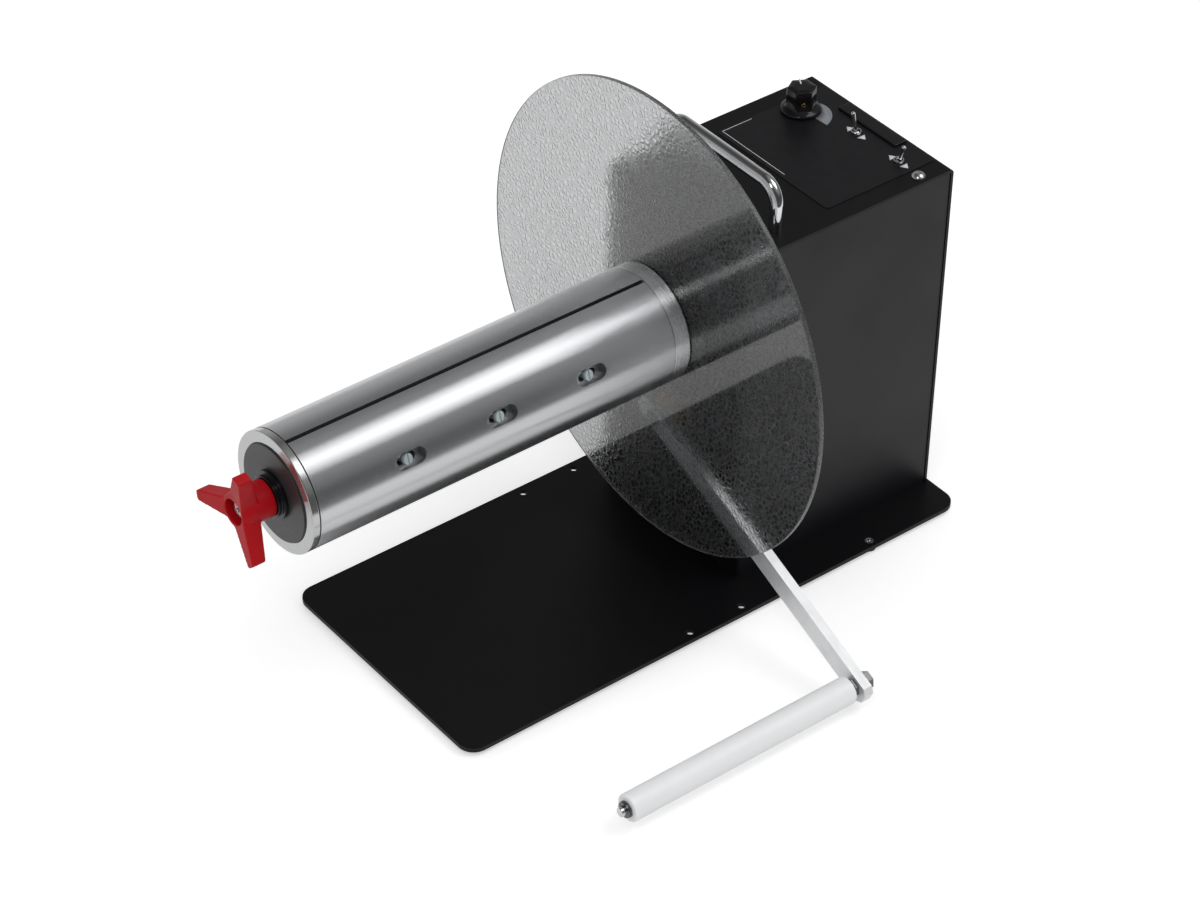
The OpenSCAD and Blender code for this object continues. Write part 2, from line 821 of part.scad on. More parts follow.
module bearing_block_screws() {
    color(dark_steel) for (p = block_screws) translate([p.x, box_front, p.y]) rotate([90, 0, 0])
        button_screw(block_screw_head_d, block_screw_head_h, block_screw_d,
                     sheet_t + front_plate_t + block_flange_t);
}

// Sizes inside a ball bearing
inner_ring_t = 4.5;
bearing_inner_d = shaft_d + 2 * inner_ring_t;
ball_d = 5.4;
ball_circle = bearing_inner_d + ball_d + 2 * pass_gap;
race_d = ball_circle + ball_d + 2 * pass_gap;
shield_t = 1;
balls_n = 8;

// Outer rings with their shields, and the balls
module ball_bearings() {
    color(steel) for (front = [front_bearing, rear_bearing]) at_axis() {
        difference() {
            rod(bearing_d, front, front + bearing_w);
            rod(bearing_inner_d + 2 * pass_gap, front - cut, front + bearing_w + cut);
            rod(race_d, front + shield_t, front + bearing_w - shield_t);
        }
        for (i = [0 : balls_n - 1]) rotate([0, i * 360 / balls_n, 0])
            translate([ball_circle / 2, front + bearing_w / 2, 0]) sphere(d = ball_d);
    }
}

// Bent rod with a screw hole in each leg
module carry_handle() {
    leg_h = handle_h - handle_bend_r;
    bar_l = handle_span - 2 * handle_bend_r;
    color(chrome_colour) translate([axis_x, handle_y, box_top]) difference() {
        union() {
            for (side = [-1, 1]) {
                translate([side * handle_span / 2, 0, 0]) cylinder(d = handle_rod_d, h = leg_h);
                mirror([side < 0 ? 1 : 0, 0, 0]) translate([bar_l / 2, 0, leg_h]) rotate([90, 0, 0])
                    rotate_extrude(angle = 90) translate([handle_bend_r, 0]) circle(d = handle_rod_d);
            }
            translate([-bar_l / 2, 0, handle_h]) rotate([0, 90, 0]) cylinder(d = handle_rod_d, h = bar_l);
        }
        for (side = [-1, 1]) translate([side * handle_span / 2, 0, -cut])
            cylinder(d = handle_screw_d, h = handle_hole_depth + cut);
    }
}

module handle_screws() {
    head_h = 3;
    head_d = 8.5;
    key_flats = 4;
    tip_room = 2;
    color(steel) for (x = handle_legs) translate([x, handle_y, box_top - sheet_t]) {
        difference() {
            translate([0, 0, -head_h]) cylinder(d = head_d, h = head_h);
            translate([0, 0, -head_h - cut]) hexagon(key_flats, head_h / 2 + cut);
        }
        cylinder(d = handle_screw_d, h = sheet_t + handle_hole_depth - tip_room);
    }
}

// Printed overlay on top of the box, left without words
module control_overlay() {
    color(black_plastic) difference() {
        translate([overlay_left, overlay_front, box_top]) linear_extrude(overlay_t)
            round_rect(overlay_w, overlay_d, overlay_corner_r);
        translate([torque_knob_x, torque_knob_y, box_top - cut])
            cylinder(d = pot_bushing_d, h = overlay_t + 2 * cut);
        for (x = [direction_switch_x, torque_switch_x]) translate([x, switch_y, box_top - cut])
            cylinder(d = bushing_d, h = overlay_t + 2 * cut);
    }
}

module badge_plate() {
    color(black_plastic) block([axis_x - badge_w / 2, badge_back - badge_d, overlay_top],
                               [axis_x + badge_w / 2, badge_back, overlay_top + badge_t]);
}

// Potentiometer under the torque knob, with its nut
module torque_potentiometer() {
    translate([torque_knob_x, torque_knob_y, 0]) {
        color(dark_steel) difference() {
            union() {
                translate([0, 0, box_top - sheet_t - pot_h]) cylinder(d = pot_d, h = pot_h);
                translate([0, 0, box_top - sheet_t]) cylinder(d = pot_bushing_d, h = sheet_t + pot_bushing_h);
            }
            translate([0, 0, box_top - sheet_t - pot_shaft_below])
                cylinder(d = pot_shaft_d + 2 * running_fit, h = pot_h + sheet_t + pot_bushing_h + cut);
        }
        color(steel) translate([0, 0, overlay_top]) difference() {
            hexagon(pot_nut_flats, pot_nut_h);
            translate([0, 0, -cut]) cylinder(d = pot_bushing_d + 2 * running_fit, h = pot_nut_h + 2 * cut);
        }
    }
}

// Both switches without their levers
module toggle_switches() {
    for (x = [direction_switch_x, torque_switch_x]) translate([x, switch_y, 0]) difference() {
        union() {
            color(black_plastic)
                block([-switch_body_l / 2, -switch_w / 2, box_top - sheet_t - switch_body_h],
                      [switch_body_l / 2, switch_w / 2, box_top - sheet_t]);
            color(steel) translate([0, 0, box_top - sheet_t])
                cylinder(d = bushing_d, h = sheet_t + overlay_t + bushing_h);
        }
        translate([0, 0, lever_pivot_z])
            rod(lever_pivot_d + 2 * pass_gap, -lever_pivot_w / 2 - pass_gap, lever_pivot_w / 2 + pass_gap);
        translate([0, 0, lever_pivot_z]) cylinder(d = bushing_bore_d, h = box_h);
    }
}

// Angle bracket that carries the gear motor
module motor_bracket() {
    half = bracket_w / 2;
    color(steel) difference() {
        union() {
            block([axis_x - half, bracket_front, base_t], [axis_x + half, motor_front, base_t + bracket_h]);
            block([axis_x - half, bracket_front, base_t],
                  [axis_x + half, bracket_front + bracket_foot_l, base_t + bracket_t]);
        }
        translate([axis_x, 0, motor_z]) rod(motor_boss_d, bracket_front - cut, motor_front + cut);
        for (p = motor_screws_at) translate([p.x, 0, p.y])
            rod(motor_screw_d, bracket_front - cut, motor_front + cut);
        for (side = [-1, 1]) translate([axis_x + side * bracket_screw_x, bracket_screw_y, base_t - cut])
            cylinder(d = base_screw_d, h = bracket_t + 2 * cut);
    }
}

// Motor can behind its gearbox
module gear_motor() {
    translate([axis_x, 0, motor_z]) difference() {
        union() {
            color(steel) rod(gearbox_d, motor_front, motor_front + gearbox_l);
            color(steel) rod(motor_boss_d, bracket_front, motor_front);
            color(dark_steel) rod(motor_d, motor_front + gearbox_l, motor_front + motor_l);
        }
        rod(motor_shaft_d + 2 * running_fit, bracket_front - cut, motor_front + gearbox_l - bracket_t);
        for (x = [-1, 1], z = [-1, 1])
            translate([x * motor_screw_pitch / 2, 0, z * motor_screw_pitch / 2])
                rod(motor_screw_d, motor_front - cut, motor_front + motor_screw_d * 2);
    }
}

module motor_screws() {
    head_h = 2;
    head_d = 5.4;
    color(dark_steel) for (p = motor_screws_at) translate([p.x, 0, p.y]) {
        rod(motor_screw_d, bracket_front, motor_front + motor_screw_d * 2);
        difference() {
            rod(head_d, bracket_front - head_h, bracket_front);
            translate([0, bracket_front - head_h, 0]) rotate([90, 0, 0])
                cross_recess(motor_screw_d, head_h / 2);
        }
    }
}

// Standoffs of the board, as places along Y and Z
board_low = base_t + board_lift;
standoffs_at = [for (y = [board_front + standoff_inset, board_front + board_l - standoff_inset],
                     z = [board_low + standoff_inset, board_low + board_h - standoff_inset]) [y, z]];

// Soldered parts, as shares of the board: front, low, back and high edge, and rise
board_part_shares = [[0.16, 0.57, 0.49, 0.74, 0.13], [0.58, 0.2, 0.78, 0.46, 0.06],
                     [0.18, 0.11, 0.47, 0.24, 0.11]];
capacitor_shares = [[0.58, 0.74], [0.73, 0.74]];
capacitor_d = 10;
capacitor_room = 2;
capacitor_h = axis_x - bracket_w / 2 - capacitor_room - board_x;

// Board with its soldered parts, on the left side panel
module control_board() {
    difference() {
        union() {
            color(board_green) block([board_x, board_front, board_low],
                                     [board_x + board_t, board_front + board_l, board_low + board_h]);
            color(black_plastic) for (part = board_part_shares)
                block([board_x, board_front + part[0] * board_l, board_low + part[1] * board_h],
                      [board_x + part[4] * board_l, board_front + part[2] * board_l,
                       board_low + part[3] * board_h]);
            color(dark_steel) for (place = capacitor_shares)
                translate([board_x, board_front + place.x * board_l, board_low + place.y * board_h])
                rotate([0, 90, 0]) cylinder(d = capacitor_d, h = capacitor_h);
        }
        for (p = standoffs_at) translate([board_x - cut, p.x, p.y]) rotate([0, 90, 0])
            cylinder(d = base_screw_d, h = board_t + 2 * cut);
    }
}

module board_standoffs() {
    color(brass_colour) for (p = standoffs_at)
        translate([board_x - standoff_l, p.x, p.y]) rotate([0, 90, 0]) {
            cylinder(d = standoff_d, h = standoff_l);
            cylinder(d = base_screw_d, h = standoff_l + board_t + sheet_t);
        }
}

// Socket for the power supply's plug
module power_inlet() {
    color(black_plastic) translate([inlet_x, 0, inlet_z]) {
        difference() {
            union() {
                rod(inlet_d, box_back, box_back + inlet_flange_t);
                rod(inlet_body_d, box_back - inlet_l, box_back);
            }
            rod(inlet_bore_d, box_back - inlet_l + inlet_flange_t, box_back + inlet_flange_t + cut);
        }
        rod(inlet_pin_d, box_back - inlet_l, box_back);
    }
}

// Flanged bush of the arm's shaft
module arm_bush() {
    color(brass_colour) at_pivot() difference() {
        union() {
            rod(bush_flange_d, box_front - bush_flange_t, box_front);
            rod(bush_d, box_front, bush_back);
        }
        rod(arm_shaft_d + 2 * running_fit, box_front - bush_flange_t - cut, bush_back + cut);
    }
}

// Directions of the stop pins: the lever hangs straight down at rest
stop_turns = [270 - stop_angle, 270 + arm_travel + stop_angle];

// A place on the circle of the stop pins
module at_stop(turn) {
    at_pivot() rotate([0, -turn, 0]) translate([stop_pin_reach, 0, 0]) children();
}

module stop_pins() {
    color(steel) for (turn = stop_turns) at_stop(turn) rod(stop_pin_d, plate_front, plate_front + stop_pin_l);
}

// Position sensor on its plate and posts
module arm_position_sensor() {
    plate_l = 2 * sensor_post_reach + sensor_post_d + 2 * sensor_plate_t;
    sensor_plate_back = sensor_front + sensor_plate_t;
    color(black_plastic) at_pivot() difference() {
        union() {
            block([-plate_l / 2, sensor_front, -sensor_plate_h / 2],
                  [plate_l / 2, sensor_plate_back, sensor_plate_h / 2]);
            rod(sensor_d, sensor_plate_back, sensor_plate_back + sensor_l);
            for (side = [-1, 1]) translate([side * sensor_post_reach, 0, 0])
                rod(sensor_post_d, plate_back, sensor_plate_back);
        }
        rod(sensor_shaft_d + 2 * running_fit, sensor_front - cut, sensor_front + sensor_l);
    }
}

// Middle line of the return spring: a helix with a straight tang at each end
spring_steps = 20;
spring_last = spring_turns * spring_steps;
function spring_point(i) = let(turn = 360 * i / spring_steps)
    [spring_r * cos(turn), spring_front + spring_pitch * i / spring_steps, spring_r * sin(turn)];
spring_path = concat(
    [spring_point(0) - [0, 0, spring_tang]],
    [for (i = [0 : spring_last]) spring_point(i)],
    [spring_point(spring_last) + [0, 0, spring_tang]]);

// A wire of 6 sides along a path
module wire(path, d) {
    sides = 6;
    n = len(path);
    function unit(v) = v / norm(v);
    function heading(i) = unit(path[min(i + 1, n - 1)] - path[max(i - 1, 0)]);
    function across(i) = unit(cross(heading(i), [0, 1, 0]));
    points = [for (i = [0 : n - 1]) let(a = across(i), b = cross(a, heading(i))) for (k = [0 : sides - 1])
        path[i] + d / 2 * (cos(360 * k / sides) * a + sin(360 * k / sides) * b)];
    walls = [for (i = [0 : n - 2], k = [0 : sides - 1]) let(next = (k + 1) % sides)
        each [[i * sides + k, (i + 1) * sides + k, (i + 1) * sides + next],
              [i * sides + k, (i + 1) * sides + next, i * sides + next]]];
    start = [for (k = [1 : sides - 2]) [0, k, k + 1]];
    end = [for (k = [1 : sides - 2]) [(n - 1) * sides, (n - 1) * sides + k + 1, (n - 1) * sides + k]];
    polyhedron(points, concat(walls, start, end), convexity = 10);
}

module arm_return_spring() {
    color(steel) at_pivot() wire(spring_path, spring_wire_d);
}

// Spindle: thick in the chuck, thin in the bearings, bored for the draw nut, slotted for the cross pin
module main_shaft() {
    slot_front = pin_y - pin_d / 2 - pass_gap;
    slot_back = pin_y + wedge_travel + pin_d / 2 + pass_gap;
    slot_half = pin_d / 2 + pass_gap / 2;
    color(steel) at_axis() difference() {
        union() {
            rod(chuck_shaft_d, shaft_front, shoulder_back);
            rod(shaft_d, shoulder_back, shaft_back);
        }
        rod(shaft_bore_d, shaft_front - cut, shaft_bore_back);
        rotate([0, -pin_turn, 0])
            block([-chuck_shaft_d, slot_front, -slot_half], [chuck_shaft_d, slot_back, slot_half]);
    }
}

// The cross pin lies square to the first spoke
pin_turn = chuck_turn + 90;

module bearing_inner_rings() {
    color(steel) for (front = [front_bearing, rear_bearing]) at_axis()
        tube(bearing_inner_d, shaft_d, front, front + bearing_w);
}

module flange_screw_places() {
    for (i = [0 : flange_screws_n - 1]) at_axis() rotate([0, i * 360 / flange_screws_n, 0])
        translate([flange_screw_circle / 2, 0, 0]) children();
}

module chuck_rear_ring() {
    color(bright_alu) difference() {
        at_axis() tube(chuck_d, chuck_shaft_d, rear_ring_front, gasket_front);
        flange_screw_places() rod(flange_screw_d, rear_ring_front + flange_tap_floor, gasket_front + cut);
    }
}

// Front ring with the boss that sits on the shaft and the seat of the end disc
module chuck_front_ring() {
    color(bright_alu) at_axis() difference() {
        union() {
            rod(chuck_d, front_ring_front, shells_front);
            rod(chuck_shaft_d + 2 * boss_wall, shells_front, boss_back);
        }
        rod(chuck_shaft_d, front_ring_front - cut, boss_back + cut);
        rod(end_disc_d, front_ring_front - cut, front_ring_front + end_disc_recess);
    }
}

module flange_gasket() {
    color(rubber_black) difference() {
        at_axis() tube(chuck_d - 2 * end_disc_proud, chuck_shaft_d, gasket_front, flange_front);
        flange_screw_places() rod(flange_screw_d, gasket_front - cut, flange_front + cut);
    }
}

module flange_disc() {
    color(clear_plastic) difference() {
        at_axis() tube(flange_d, chuck_shaft_d, flange_front, flange_back);
        flange_screw_places() rod(flange_screw_d, flange_front - cut, flange_back + cut);
    }
}

module flange_hub() {
    color(dark_steel) difference() {
        at_axis() tube(hub_d, chuck_shaft_d, flange_back, flange_back + hub_t);
        flange_screw_places() rod(flange_screw_d, flange_back - cut, flange_back + hub_t + cut);
    }
}

module flange_screws() {
    head_back = flange_back + hub_t;
    color(steel) flange_screw_places() {
        rod(flange_screw_d, rear_ring_front + 2 * flange_tap_floor, head_back);
        translate([0, head_back, 0]) rotate([-90, 0, 0])
            button_screw(flange_screw_head_d, flange_screw_head_h, flange_screw_d, hub_t / 2);
    }
}

// Depth of a tooth below the pitch circle, as a share of the gear's module
dedendum_share = 1.25;

// Involute of an angle, in degrees
function involute(angle) = tan(angle) * 180 / PI - angle;

// Outline of a gear with n teeth; a tooth's middle points along X
module gear_outline(n) {
    pitch_r = gear_module * n / 2;
    base_r = pitch_r * cos(pressure_angle);
    tip_r = pitch_r + gear_module;
    root_r = pitch_r - dedendum_share * gear_module;
    flank_r = max(base_r, root_r);
    flank_steps = 3;
    radii = [for (k = [0 : flank_steps]) flank_r + (tip_r - flank_r) * k / flank_steps];
    half_pitch = 90 / n - backlash / 4 / pitch_r * 180 / PI;
    function half(r) = half_pitch + involute(pressure_angle) - involute(acos(min(1, base_r / r)));
    function spot(r, turn) = [r * cos(turn), r * sin(turn)];
    polygon([for (i = [0 : n - 1]) let(mid = 360 * i / n) each concat(
        [spot(root_r, mid - half(flank_r))],
        [for (r = radii) spot(r, mid - half(r))],
        [for (k = [0 : flank_steps]) let(r = radii[flank_steps - k]) spot(r, mid + half(r))],
        [spot(root_r, mid + half(flank_r))])]);
}

module spindle_gear() {
    color(brass_colour) at_axis() difference() {
        slab(gear_front, gear_back) gear_outline(spindle_teeth);
        rod(shaft_d, gear_front - cut, gear_back + cut);
        for (turn = [0 : 60 : 300]) rotate([0, turn, 0])
            translate([(gear_hub_d / 2 + spindle_pitch_r) / 2, 0, 0])
            rod(gear_hub_d / 2, gear_front - cut, gear_back + cut);
    }
}

module end_disc() {
    color(end_disc_grey) at_axis()
        tube(end_disc_d, draw_screw_d + 2 * running_fit, end_disc_front, front_ring_front + end_disc_recess);
}

// Black stepped collar between the end disc and the knob
module thrust_collar() {
    color(black_plastic) at_axis() difference() {
        union() {
            rod(collar_d, end_disc_front - collar_step_l, end_disc_front);
            rod(knob_hub_d + collar_step_l, collar_front, end_disc_front);
        }
        rod(draw_screw_d + 2 * pass_gap, collar_front - cut, end_disc_front + cut);
    }
}

// Half the width of a knob arm where it leaves the hub and at its tip
knob_arm_root_half = 7.4;
knob_arm_tip_half = 3.6;
knob_tip_r = 1.8;
knob_nose_d = knob_hub_d - 3;
knob_nose_l = 4;
knob_screw_d = 5;
knob_web_t = 5;
screw_seat = knob_front + knob_arm_t - knob_web_t;

// Outline of one knob arm along X, with small round corners at its tip
module knob_arm_outline() {
    tip = knob_arm_reach - knob_tip_r;
    flat_half = knob_arm_tip_half - knob_tip_r;
    polygon([[0, -knob_arm_root_half], [tip, -knob_arm_tip_half], [knob_arm_reach, -flat_half],
             [knob_arm_reach, flat_half], [tip, knob_arm_tip_half], [0, knob_arm_root_half]]);
    for (side = [-1, 1]) translate([tip, side * flat_half]) circle(r = knob_tip_r);
}

// Side view of one knob arm: it rises forward towards its tip and gets thinner
module knob_arm_side() {
    tip_front = knob_front - knob_arm_rise;
    polygon([[0, knob_front], [knob_recess_d / 2, knob_front], [knob_arm_reach, tip_front],
             [knob_arm_reach, tip_front + knob_tip_t], [knob_recess_d / 2, knob_arms_back],
             [0, knob_arms_back]]);
}

// Three arms on a round hub, with a recess for the screw in front
module wing_knob() {
    color(red_plastic) at_axis() difference() {
        union() {
            rod(knob_hub_d, knob_front + knob_nose_l, knob_back);
            translate([0, knob_front, 0]) rotate([-90, 0, 0])
                cylinder(d1 = knob_nose_d, d2 = knob_hub_d, h = knob_nose_l);
            for (i = spokes) rotate([0, -knob_turn - 120 * i, 0]) intersection() {
                slab(knob_front - knob_arm_rise, knob_arms_back) knob_arm_outline();
                translate([0, 0, -knob_arm_root_half]) linear_extrude(2 * knob_arm_root_half)
                    knob_arm_side();
            }
        }
        rod(knob_recess_d, knob_front - cut, screw_seat);
        rod(knob_screw_d, knob_front, knob_back);
        rod(draw_screw_d, knob_arms_back, knob_back + cut);
    }
}

// Screw that the knob turns; its flange is held between the shaft and the end disc
module draw_screw() {
    flange_start = front_ring_front + end_disc_recess + pass_gap;
    color(steel) at_axis() difference() {
        union() {
            rod(draw_screw_d, knob_arms_back, draw_screw_back);
            rod(chuck_shaft_d - 2 * pass_gap, flange_start, flange_start + thrust_flange_t);
        }
        rod(knob_screw_d, knob_arms_back - cut, knob_back);
    }
}

module knob_screw() {
    head_h = 3;
    head_d = 9;
    color(steel) at_axis() {
        rod(knob_screw_d, screw_seat, knob_back - cut);
        difference() {
            rod(head_d, screw_seat - head_h, screw_seat);
            translate([0, screw_seat - head_h, 0]) rotate([90, 0, 0])
                cross_recess(knob_screw_d, head_h / 2);
        }
    }
}

// Side view of the wedges on the core, as places along Y and Z
module core_wedge(i) {
    start = wedge_start(i);
    end = start + wedge_l;
    foot_r = core_outer_r - wedge_sink;
    polygon([[start, foot_r], [start, wedge_top_r], [end, wedge_low_r], [end, foot_r]]);
}

// Turns an outline in Y and Z into a bar of width w about X = 0
module bar(w) {
    rotate([90, 0, 90]) translate([0, 0, -w / 2]) linear_extrude(w) children();
}

// Place of the screw of slot i, on its slanted ledge
module at_shell_screw(i) {
    y = slot_y(i) - slot_lean - screw_forward;
    translate([0, y, ledge_r + wedge_slope * screw_forward]) rotate([-wedge_angle, 0, 0]) children();
}

// Depth of a shell screw's tip below its ledge
function shell_screw_l() = shell_screw_bite
    + (ledge_r - wedge_r(0, slot_y(0) - slot_lean)) * cos(wedge_angle);

// Sliding core with three rows of wedges
module wedge_core() {
    color(steel) difference() {
        union() {
            at_axis() rod(2 * core_outer_r, core_front, core_back);
            for (k = spokes) at_spoke(k) for (i = slots) bar(wedge_w) core_wedge(i);
        }
        at_axis() rod(chuck_shaft_d + 2 * running_fit, core_front - cut, core_back + cut);
        at_axis() rotate([0, -pin_turn, 0]) translate([0, pin_y, 0]) rotate([0, 90, 0])
            cylinder(d = pin_d, h = 2 * chuck_d, center = true);
        for (k = spokes) at_spoke(k) for (i = slots) at_shell_screw(i)
            translate([0, 0, -shell_screw_l()]) cylinder(d = shell_screw_d, h = shell_screw_l());
    }
}

// Nut that the draw screw moves along the shaft's bore
module draw_nut() {
    color(brass_colour) at_axis() difference() {
        rod(shaft_bore_d - 2 * running_fit, nut_front, nut_front + nut_l);
        rod(draw_screw_d + 2 * running_fit, nut_front - cut, nut_front + nut_thread_l);
        rotate([0, -pin_turn, 0]) translate([0, pin_y, 0]) rotate([0, 90, 0])
            cylinder(d = pin_d, h = chuck_d, center = true);
    }
}

// Pin through nut, shaft and core
module cross_pin() {
    color(steel) at_axis() rotate([0, -pin_turn, 0]) translate([0, pin_y, 0]) rotate([0, 90, 0])
        cylinder(d = pin_d, h = 2 * core_outer_r - pass_gap, center = true);
}

// Slotted screws that hold the shells down on the wedges
module shell_screws() {
    color(steel) for (k = spokes) at_spoke(k) for (i = slots) at_shell_screw(i) difference() {
        union() {
            translate([0, 0, pass_gap]) cylinder(d = shell_screw_head_d, h = shell_screw_head_h);
            translate([0, 0, -shell_screw_l()])
                cylinder(d = shell_screw_d, h = shell_screw_l() + pass_gap + shell_screw_head_h / 4);
        }
        translate([-shell_screw_head_d, -shell_screw_head_h / 6, pass_gap + shell_screw_head_h / 2])
            cube([2 * shell_screw_head_d, shell_screw_head_h / 3, shell_screw_head_h]);
    }
}

// The 120 degrees of one shell, seen from the front, less half a gap on each side
module shell_sector() {
    apex = shell_gap / 2 / sin(60);
    translate([0, apex]) polygon([[0, 0], [chuck_d * sin(60), chuck_d * cos(60)], [0, 2 * chuck_d],
                                  [-chuck_d * sin(60), chuck_d * cos(60)]]);
}

// Side view of the wedge inside a shell, which lies on the core's wedge
module shell_wedge(i) {
    start = wedge_start(i) + shell_wedge_lead;
    end = wedge_start(i) + wedge_l - shell_wedge_tail;
    lift = pass_gap / cos(wedge_angle);
    top_r = shell_inner_r + shell_t / 4;
    polygon([[start, wedge_r(i, start) + lift], [end, wedge_r(i, end) + lift], [end, top_r], [start, top_r]]);
}

// One shell: a curved wall, its wedges, and the slots of its screws
module chuck_shell(k) {
    channel_w = shell_screw_d + 2 * pass_gap;
    channel_reach = max(screw_forward, wedge_travel - screw_forward) + 2 * pass_gap;
    channel_l = 2 * channel_reach + shell_screw_d;
    color(bright_alu) at_spoke(k) difference() {
        union() {
            intersection() {
                tube(chuck_d, 2 * shell_inner_r, shells_front + pass_gap, rear_ring_front - pass_gap);
                slab(shells_front, rear_ring_front) shell_sector();
            }
            for (i = slots) bar(wedge_w) shell_wedge(i);
        }
        for (i = slots) translate([0, slot_y(i) - slot_lean, ledge_r]) rotate([-wedge_angle, 0, 0]) {
            rotate([0, 0, 90]) linear_extrude(2 * shell_t) stadium(slot_l, slot_w);
            translate([0, 0, -chuck_d / 2]) rotate([0, 0, 90]) linear_extrude(chuck_d)
                stadium(channel_l, channel_w);
        }
    }
}

module chuck_shell_1() { chuck_shell(0); }
module chuck_shell_2() { chuck_shell(1); }
module chuck_shell_3() { chuck_shell(2); }

// Flat bar with cut corners
module tension_arm() {
    half = arm_w / 2;
    end = arm_l + arm_nose;
    color(bright_alu) at_arm() difference() {
        slab(arm_front, arm_back) polygon([
            [arm_chamfer - arm_tail, -half], [end - arm_chamfer, -half], [end, arm_chamfer - half],
            [end, half - arm_chamfer], [end - arm_chamfer, half], [arm_chamfer - arm_tail, half],
            [-arm_tail, half - arm_chamfer], [-arm_tail, arm_chamfer - half]]);
        translate([0, arm_front, 0]) rotate([90, 0, 0])
            countersunk_hole(pivot_screw_head_d, pivot_screw_d, arm_t + cut);
        translate([arm_l, 0, 0]) rod(roller_shaft_d, arm_front - cut, arm_back + cut);
    }
}

// Shaft of the arm, with the lever that meets the stop pins
module arm_shaft() {
    color(steel) at_pivot() difference() {
        union() {
            rod(arm_shaft_d, arm_back, sensor_front - pass_gap);
            rod(sensor_shaft_d, sensor_front - cut, sensor_front + sensor_l - pass_gap);
            rod(stop_lever_d, stop_lever_front, stop_lever_back);
            block([-stop_lever_w / 2, stop_lever_front, -stop_lever_reach],
                  [stop_lever_w / 2, stop_lever_back, 0]);
        }
        rod(pivot_screw_d, arm_back - cut, arm_front + pivot_screw_l);
    }
}

module roller_shaft() {
    color(steel) at_arm() translate([arm_l, 0, 0])
        rod(roller_shaft_d, roller_shaft_front, arm_back + rear_nut_h + washer_t);
}

// Pivot screw, roller nuts, washers and clip
module arm_fasteners() {
    color(steel) at_arm() {
        translate([0, arm_front, 0]) rotate([90, 0, 0])
            countersunk_screw(pivot_screw_head_d, pivot_screw_d, pivot_screw_l);
        translate([arm_l, 0, 0]) {
            tube(washer_d, roller_shaft_d, roller_back + pass_gap, roller_back + pass_gap + washer_t);
            nut(arm_front, nut_h);
            nut(arm_back + rear_nut_h, rear_nut_h);
            tube(front_washer_d, roller_shaft_d, roller_front - pass_gap - washer_t,
                 roller_front - pass_gap);
            tube(clip_d, roller_shaft_d, clip_back - clip_t, clip_back);
        }
    }
}

// Hexagonal nut on the roller's shaft, forward from a place
module nut(back, h) {
    translate([0, back, 0]) rotate([90, 0, 0]) difference() {
        hexagon(nut_flats, h);
        translate([0, 0, -cut]) cylinder(d = roller_shaft_d, h = h + 2 * cut);
    }
}

module guide_roller() {
    color(white_plastic) at_arm() translate([arm_l, 0, 0])
        tube(roller_d, roller_shaft_d + 2 * running_fit, roller_front, roller_back);
}

// Skirted knob with a six-sided grip and a set screw
module torque_knob() {
    set_screw_l = torque_grip_d / 2 - pot_shaft_d / 2 - pass_gap;
    grip_corner = 1;
    skirt_step = 3;
    translate([torque_knob_x, torque_knob_y, torque_knob_z]) {
        color(black_plastic) difference() {
            union() {
                cylinder(d = torque_skirt_d, h = torque_skirt_h / 2);
                translate([0, 0, torque_skirt_h / 2])
                    cylinder(d1 = torque_skirt_d, d2 = torque_grip_d + skirt_step, h = torque_skirt_h / 2);
                rotate([0, 0, torque_pointer_turn]) intersection() {
                    cylinder(d = torque_grip_d + grip_corner, h = torque_knob_h);
                    rotate([0, 0, 30]) hexagon(torque_grip_d, torque_knob_h);
                }
            }
            translate([0, 0, -cut]) cylinder(d = torque_recess_d, h = torque_recess_h + cut);
            translate([0, 0, -cut]) cylinder(d = pot_shaft_d, h = pot_shaft_above + cut);
            rotate([0, 0, torque_pointer_turn + 180]) translate([pot_shaft_d / 2 - cut, 0, set_screw_z])
                rotate([0, 90, 0]) cylinder(d = set_screw_d + 2 * running_fit, h = torque_skirt_d);
        }
        color(brass_colour) rotate([0, 0, torque_pointer_turn + 180])
            translate([pot_shaft_d / 2, 0, set_screw_z]) rotate([0, 90, 0]) difference() {
                cylinder(d = set_screw_d, h = set_screw_l);
                translate([-set_screw_d, -set_screw_d / 10, set_screw_l - pass_gap])
                    cube([2 * set_screw_d, set_screw_d / 5, set_screw_d]);
            }
    }
}

module torque_knob_shaft() {
    color(steel) translate([torque_knob_x, torque_knob_y, box_top - sheet_t - pot_shaft_below + pass_gap])
        cylinder(d = pot_shaft_d,
                 h = torque_knob_z + pot_shaft_above - box_top + sheet_t + pot_shaft_below - pass_gap);
}

// Lever of a toggle switch, leaning along X
module toggle_lever(x, lean) {
    color(chrome_colour) translate([x, switch_y, lever_pivot_z]) rotate([0, lean, 0]) {
        rod(lever_pivot_d, -lever_pivot_w / 2, lever_pivot_w / 2);
        cylinder(d1 = lever_foot_d, d2 = lever_tip_d, h = lever_l - lever_tip_d / 2);
        translate([0, 0, lever_l - lever_tip_d / 2]) sphere(d = lever_tip_d);
    }
}

module direction_toggle() { toggle_lever(direction_switch_x, -lever_lean); }
module torque_toggle() { toggle_lever(torque_switch_x, lever_lean); }

// Pinion in one piece with the motor's shaft; turned by half a tooth to mesh
module motor_pinion() {
    mesh_turn = pinion_teeth % 4 == 0 ? 180 / pinion_teeth : 0;
    color(steel) translate([axis_x, 0, motor_z]) {
        rotate([0, mesh_turn, 0]) slab(gear_back - pinion_w, gear_back) gear_outline(pinion_teeth);
        rod(motor_shaft_d, gear_back - pinion_w - sheet_t, motor_front + gearbox_l - 2 * bracket_t);
    }
}

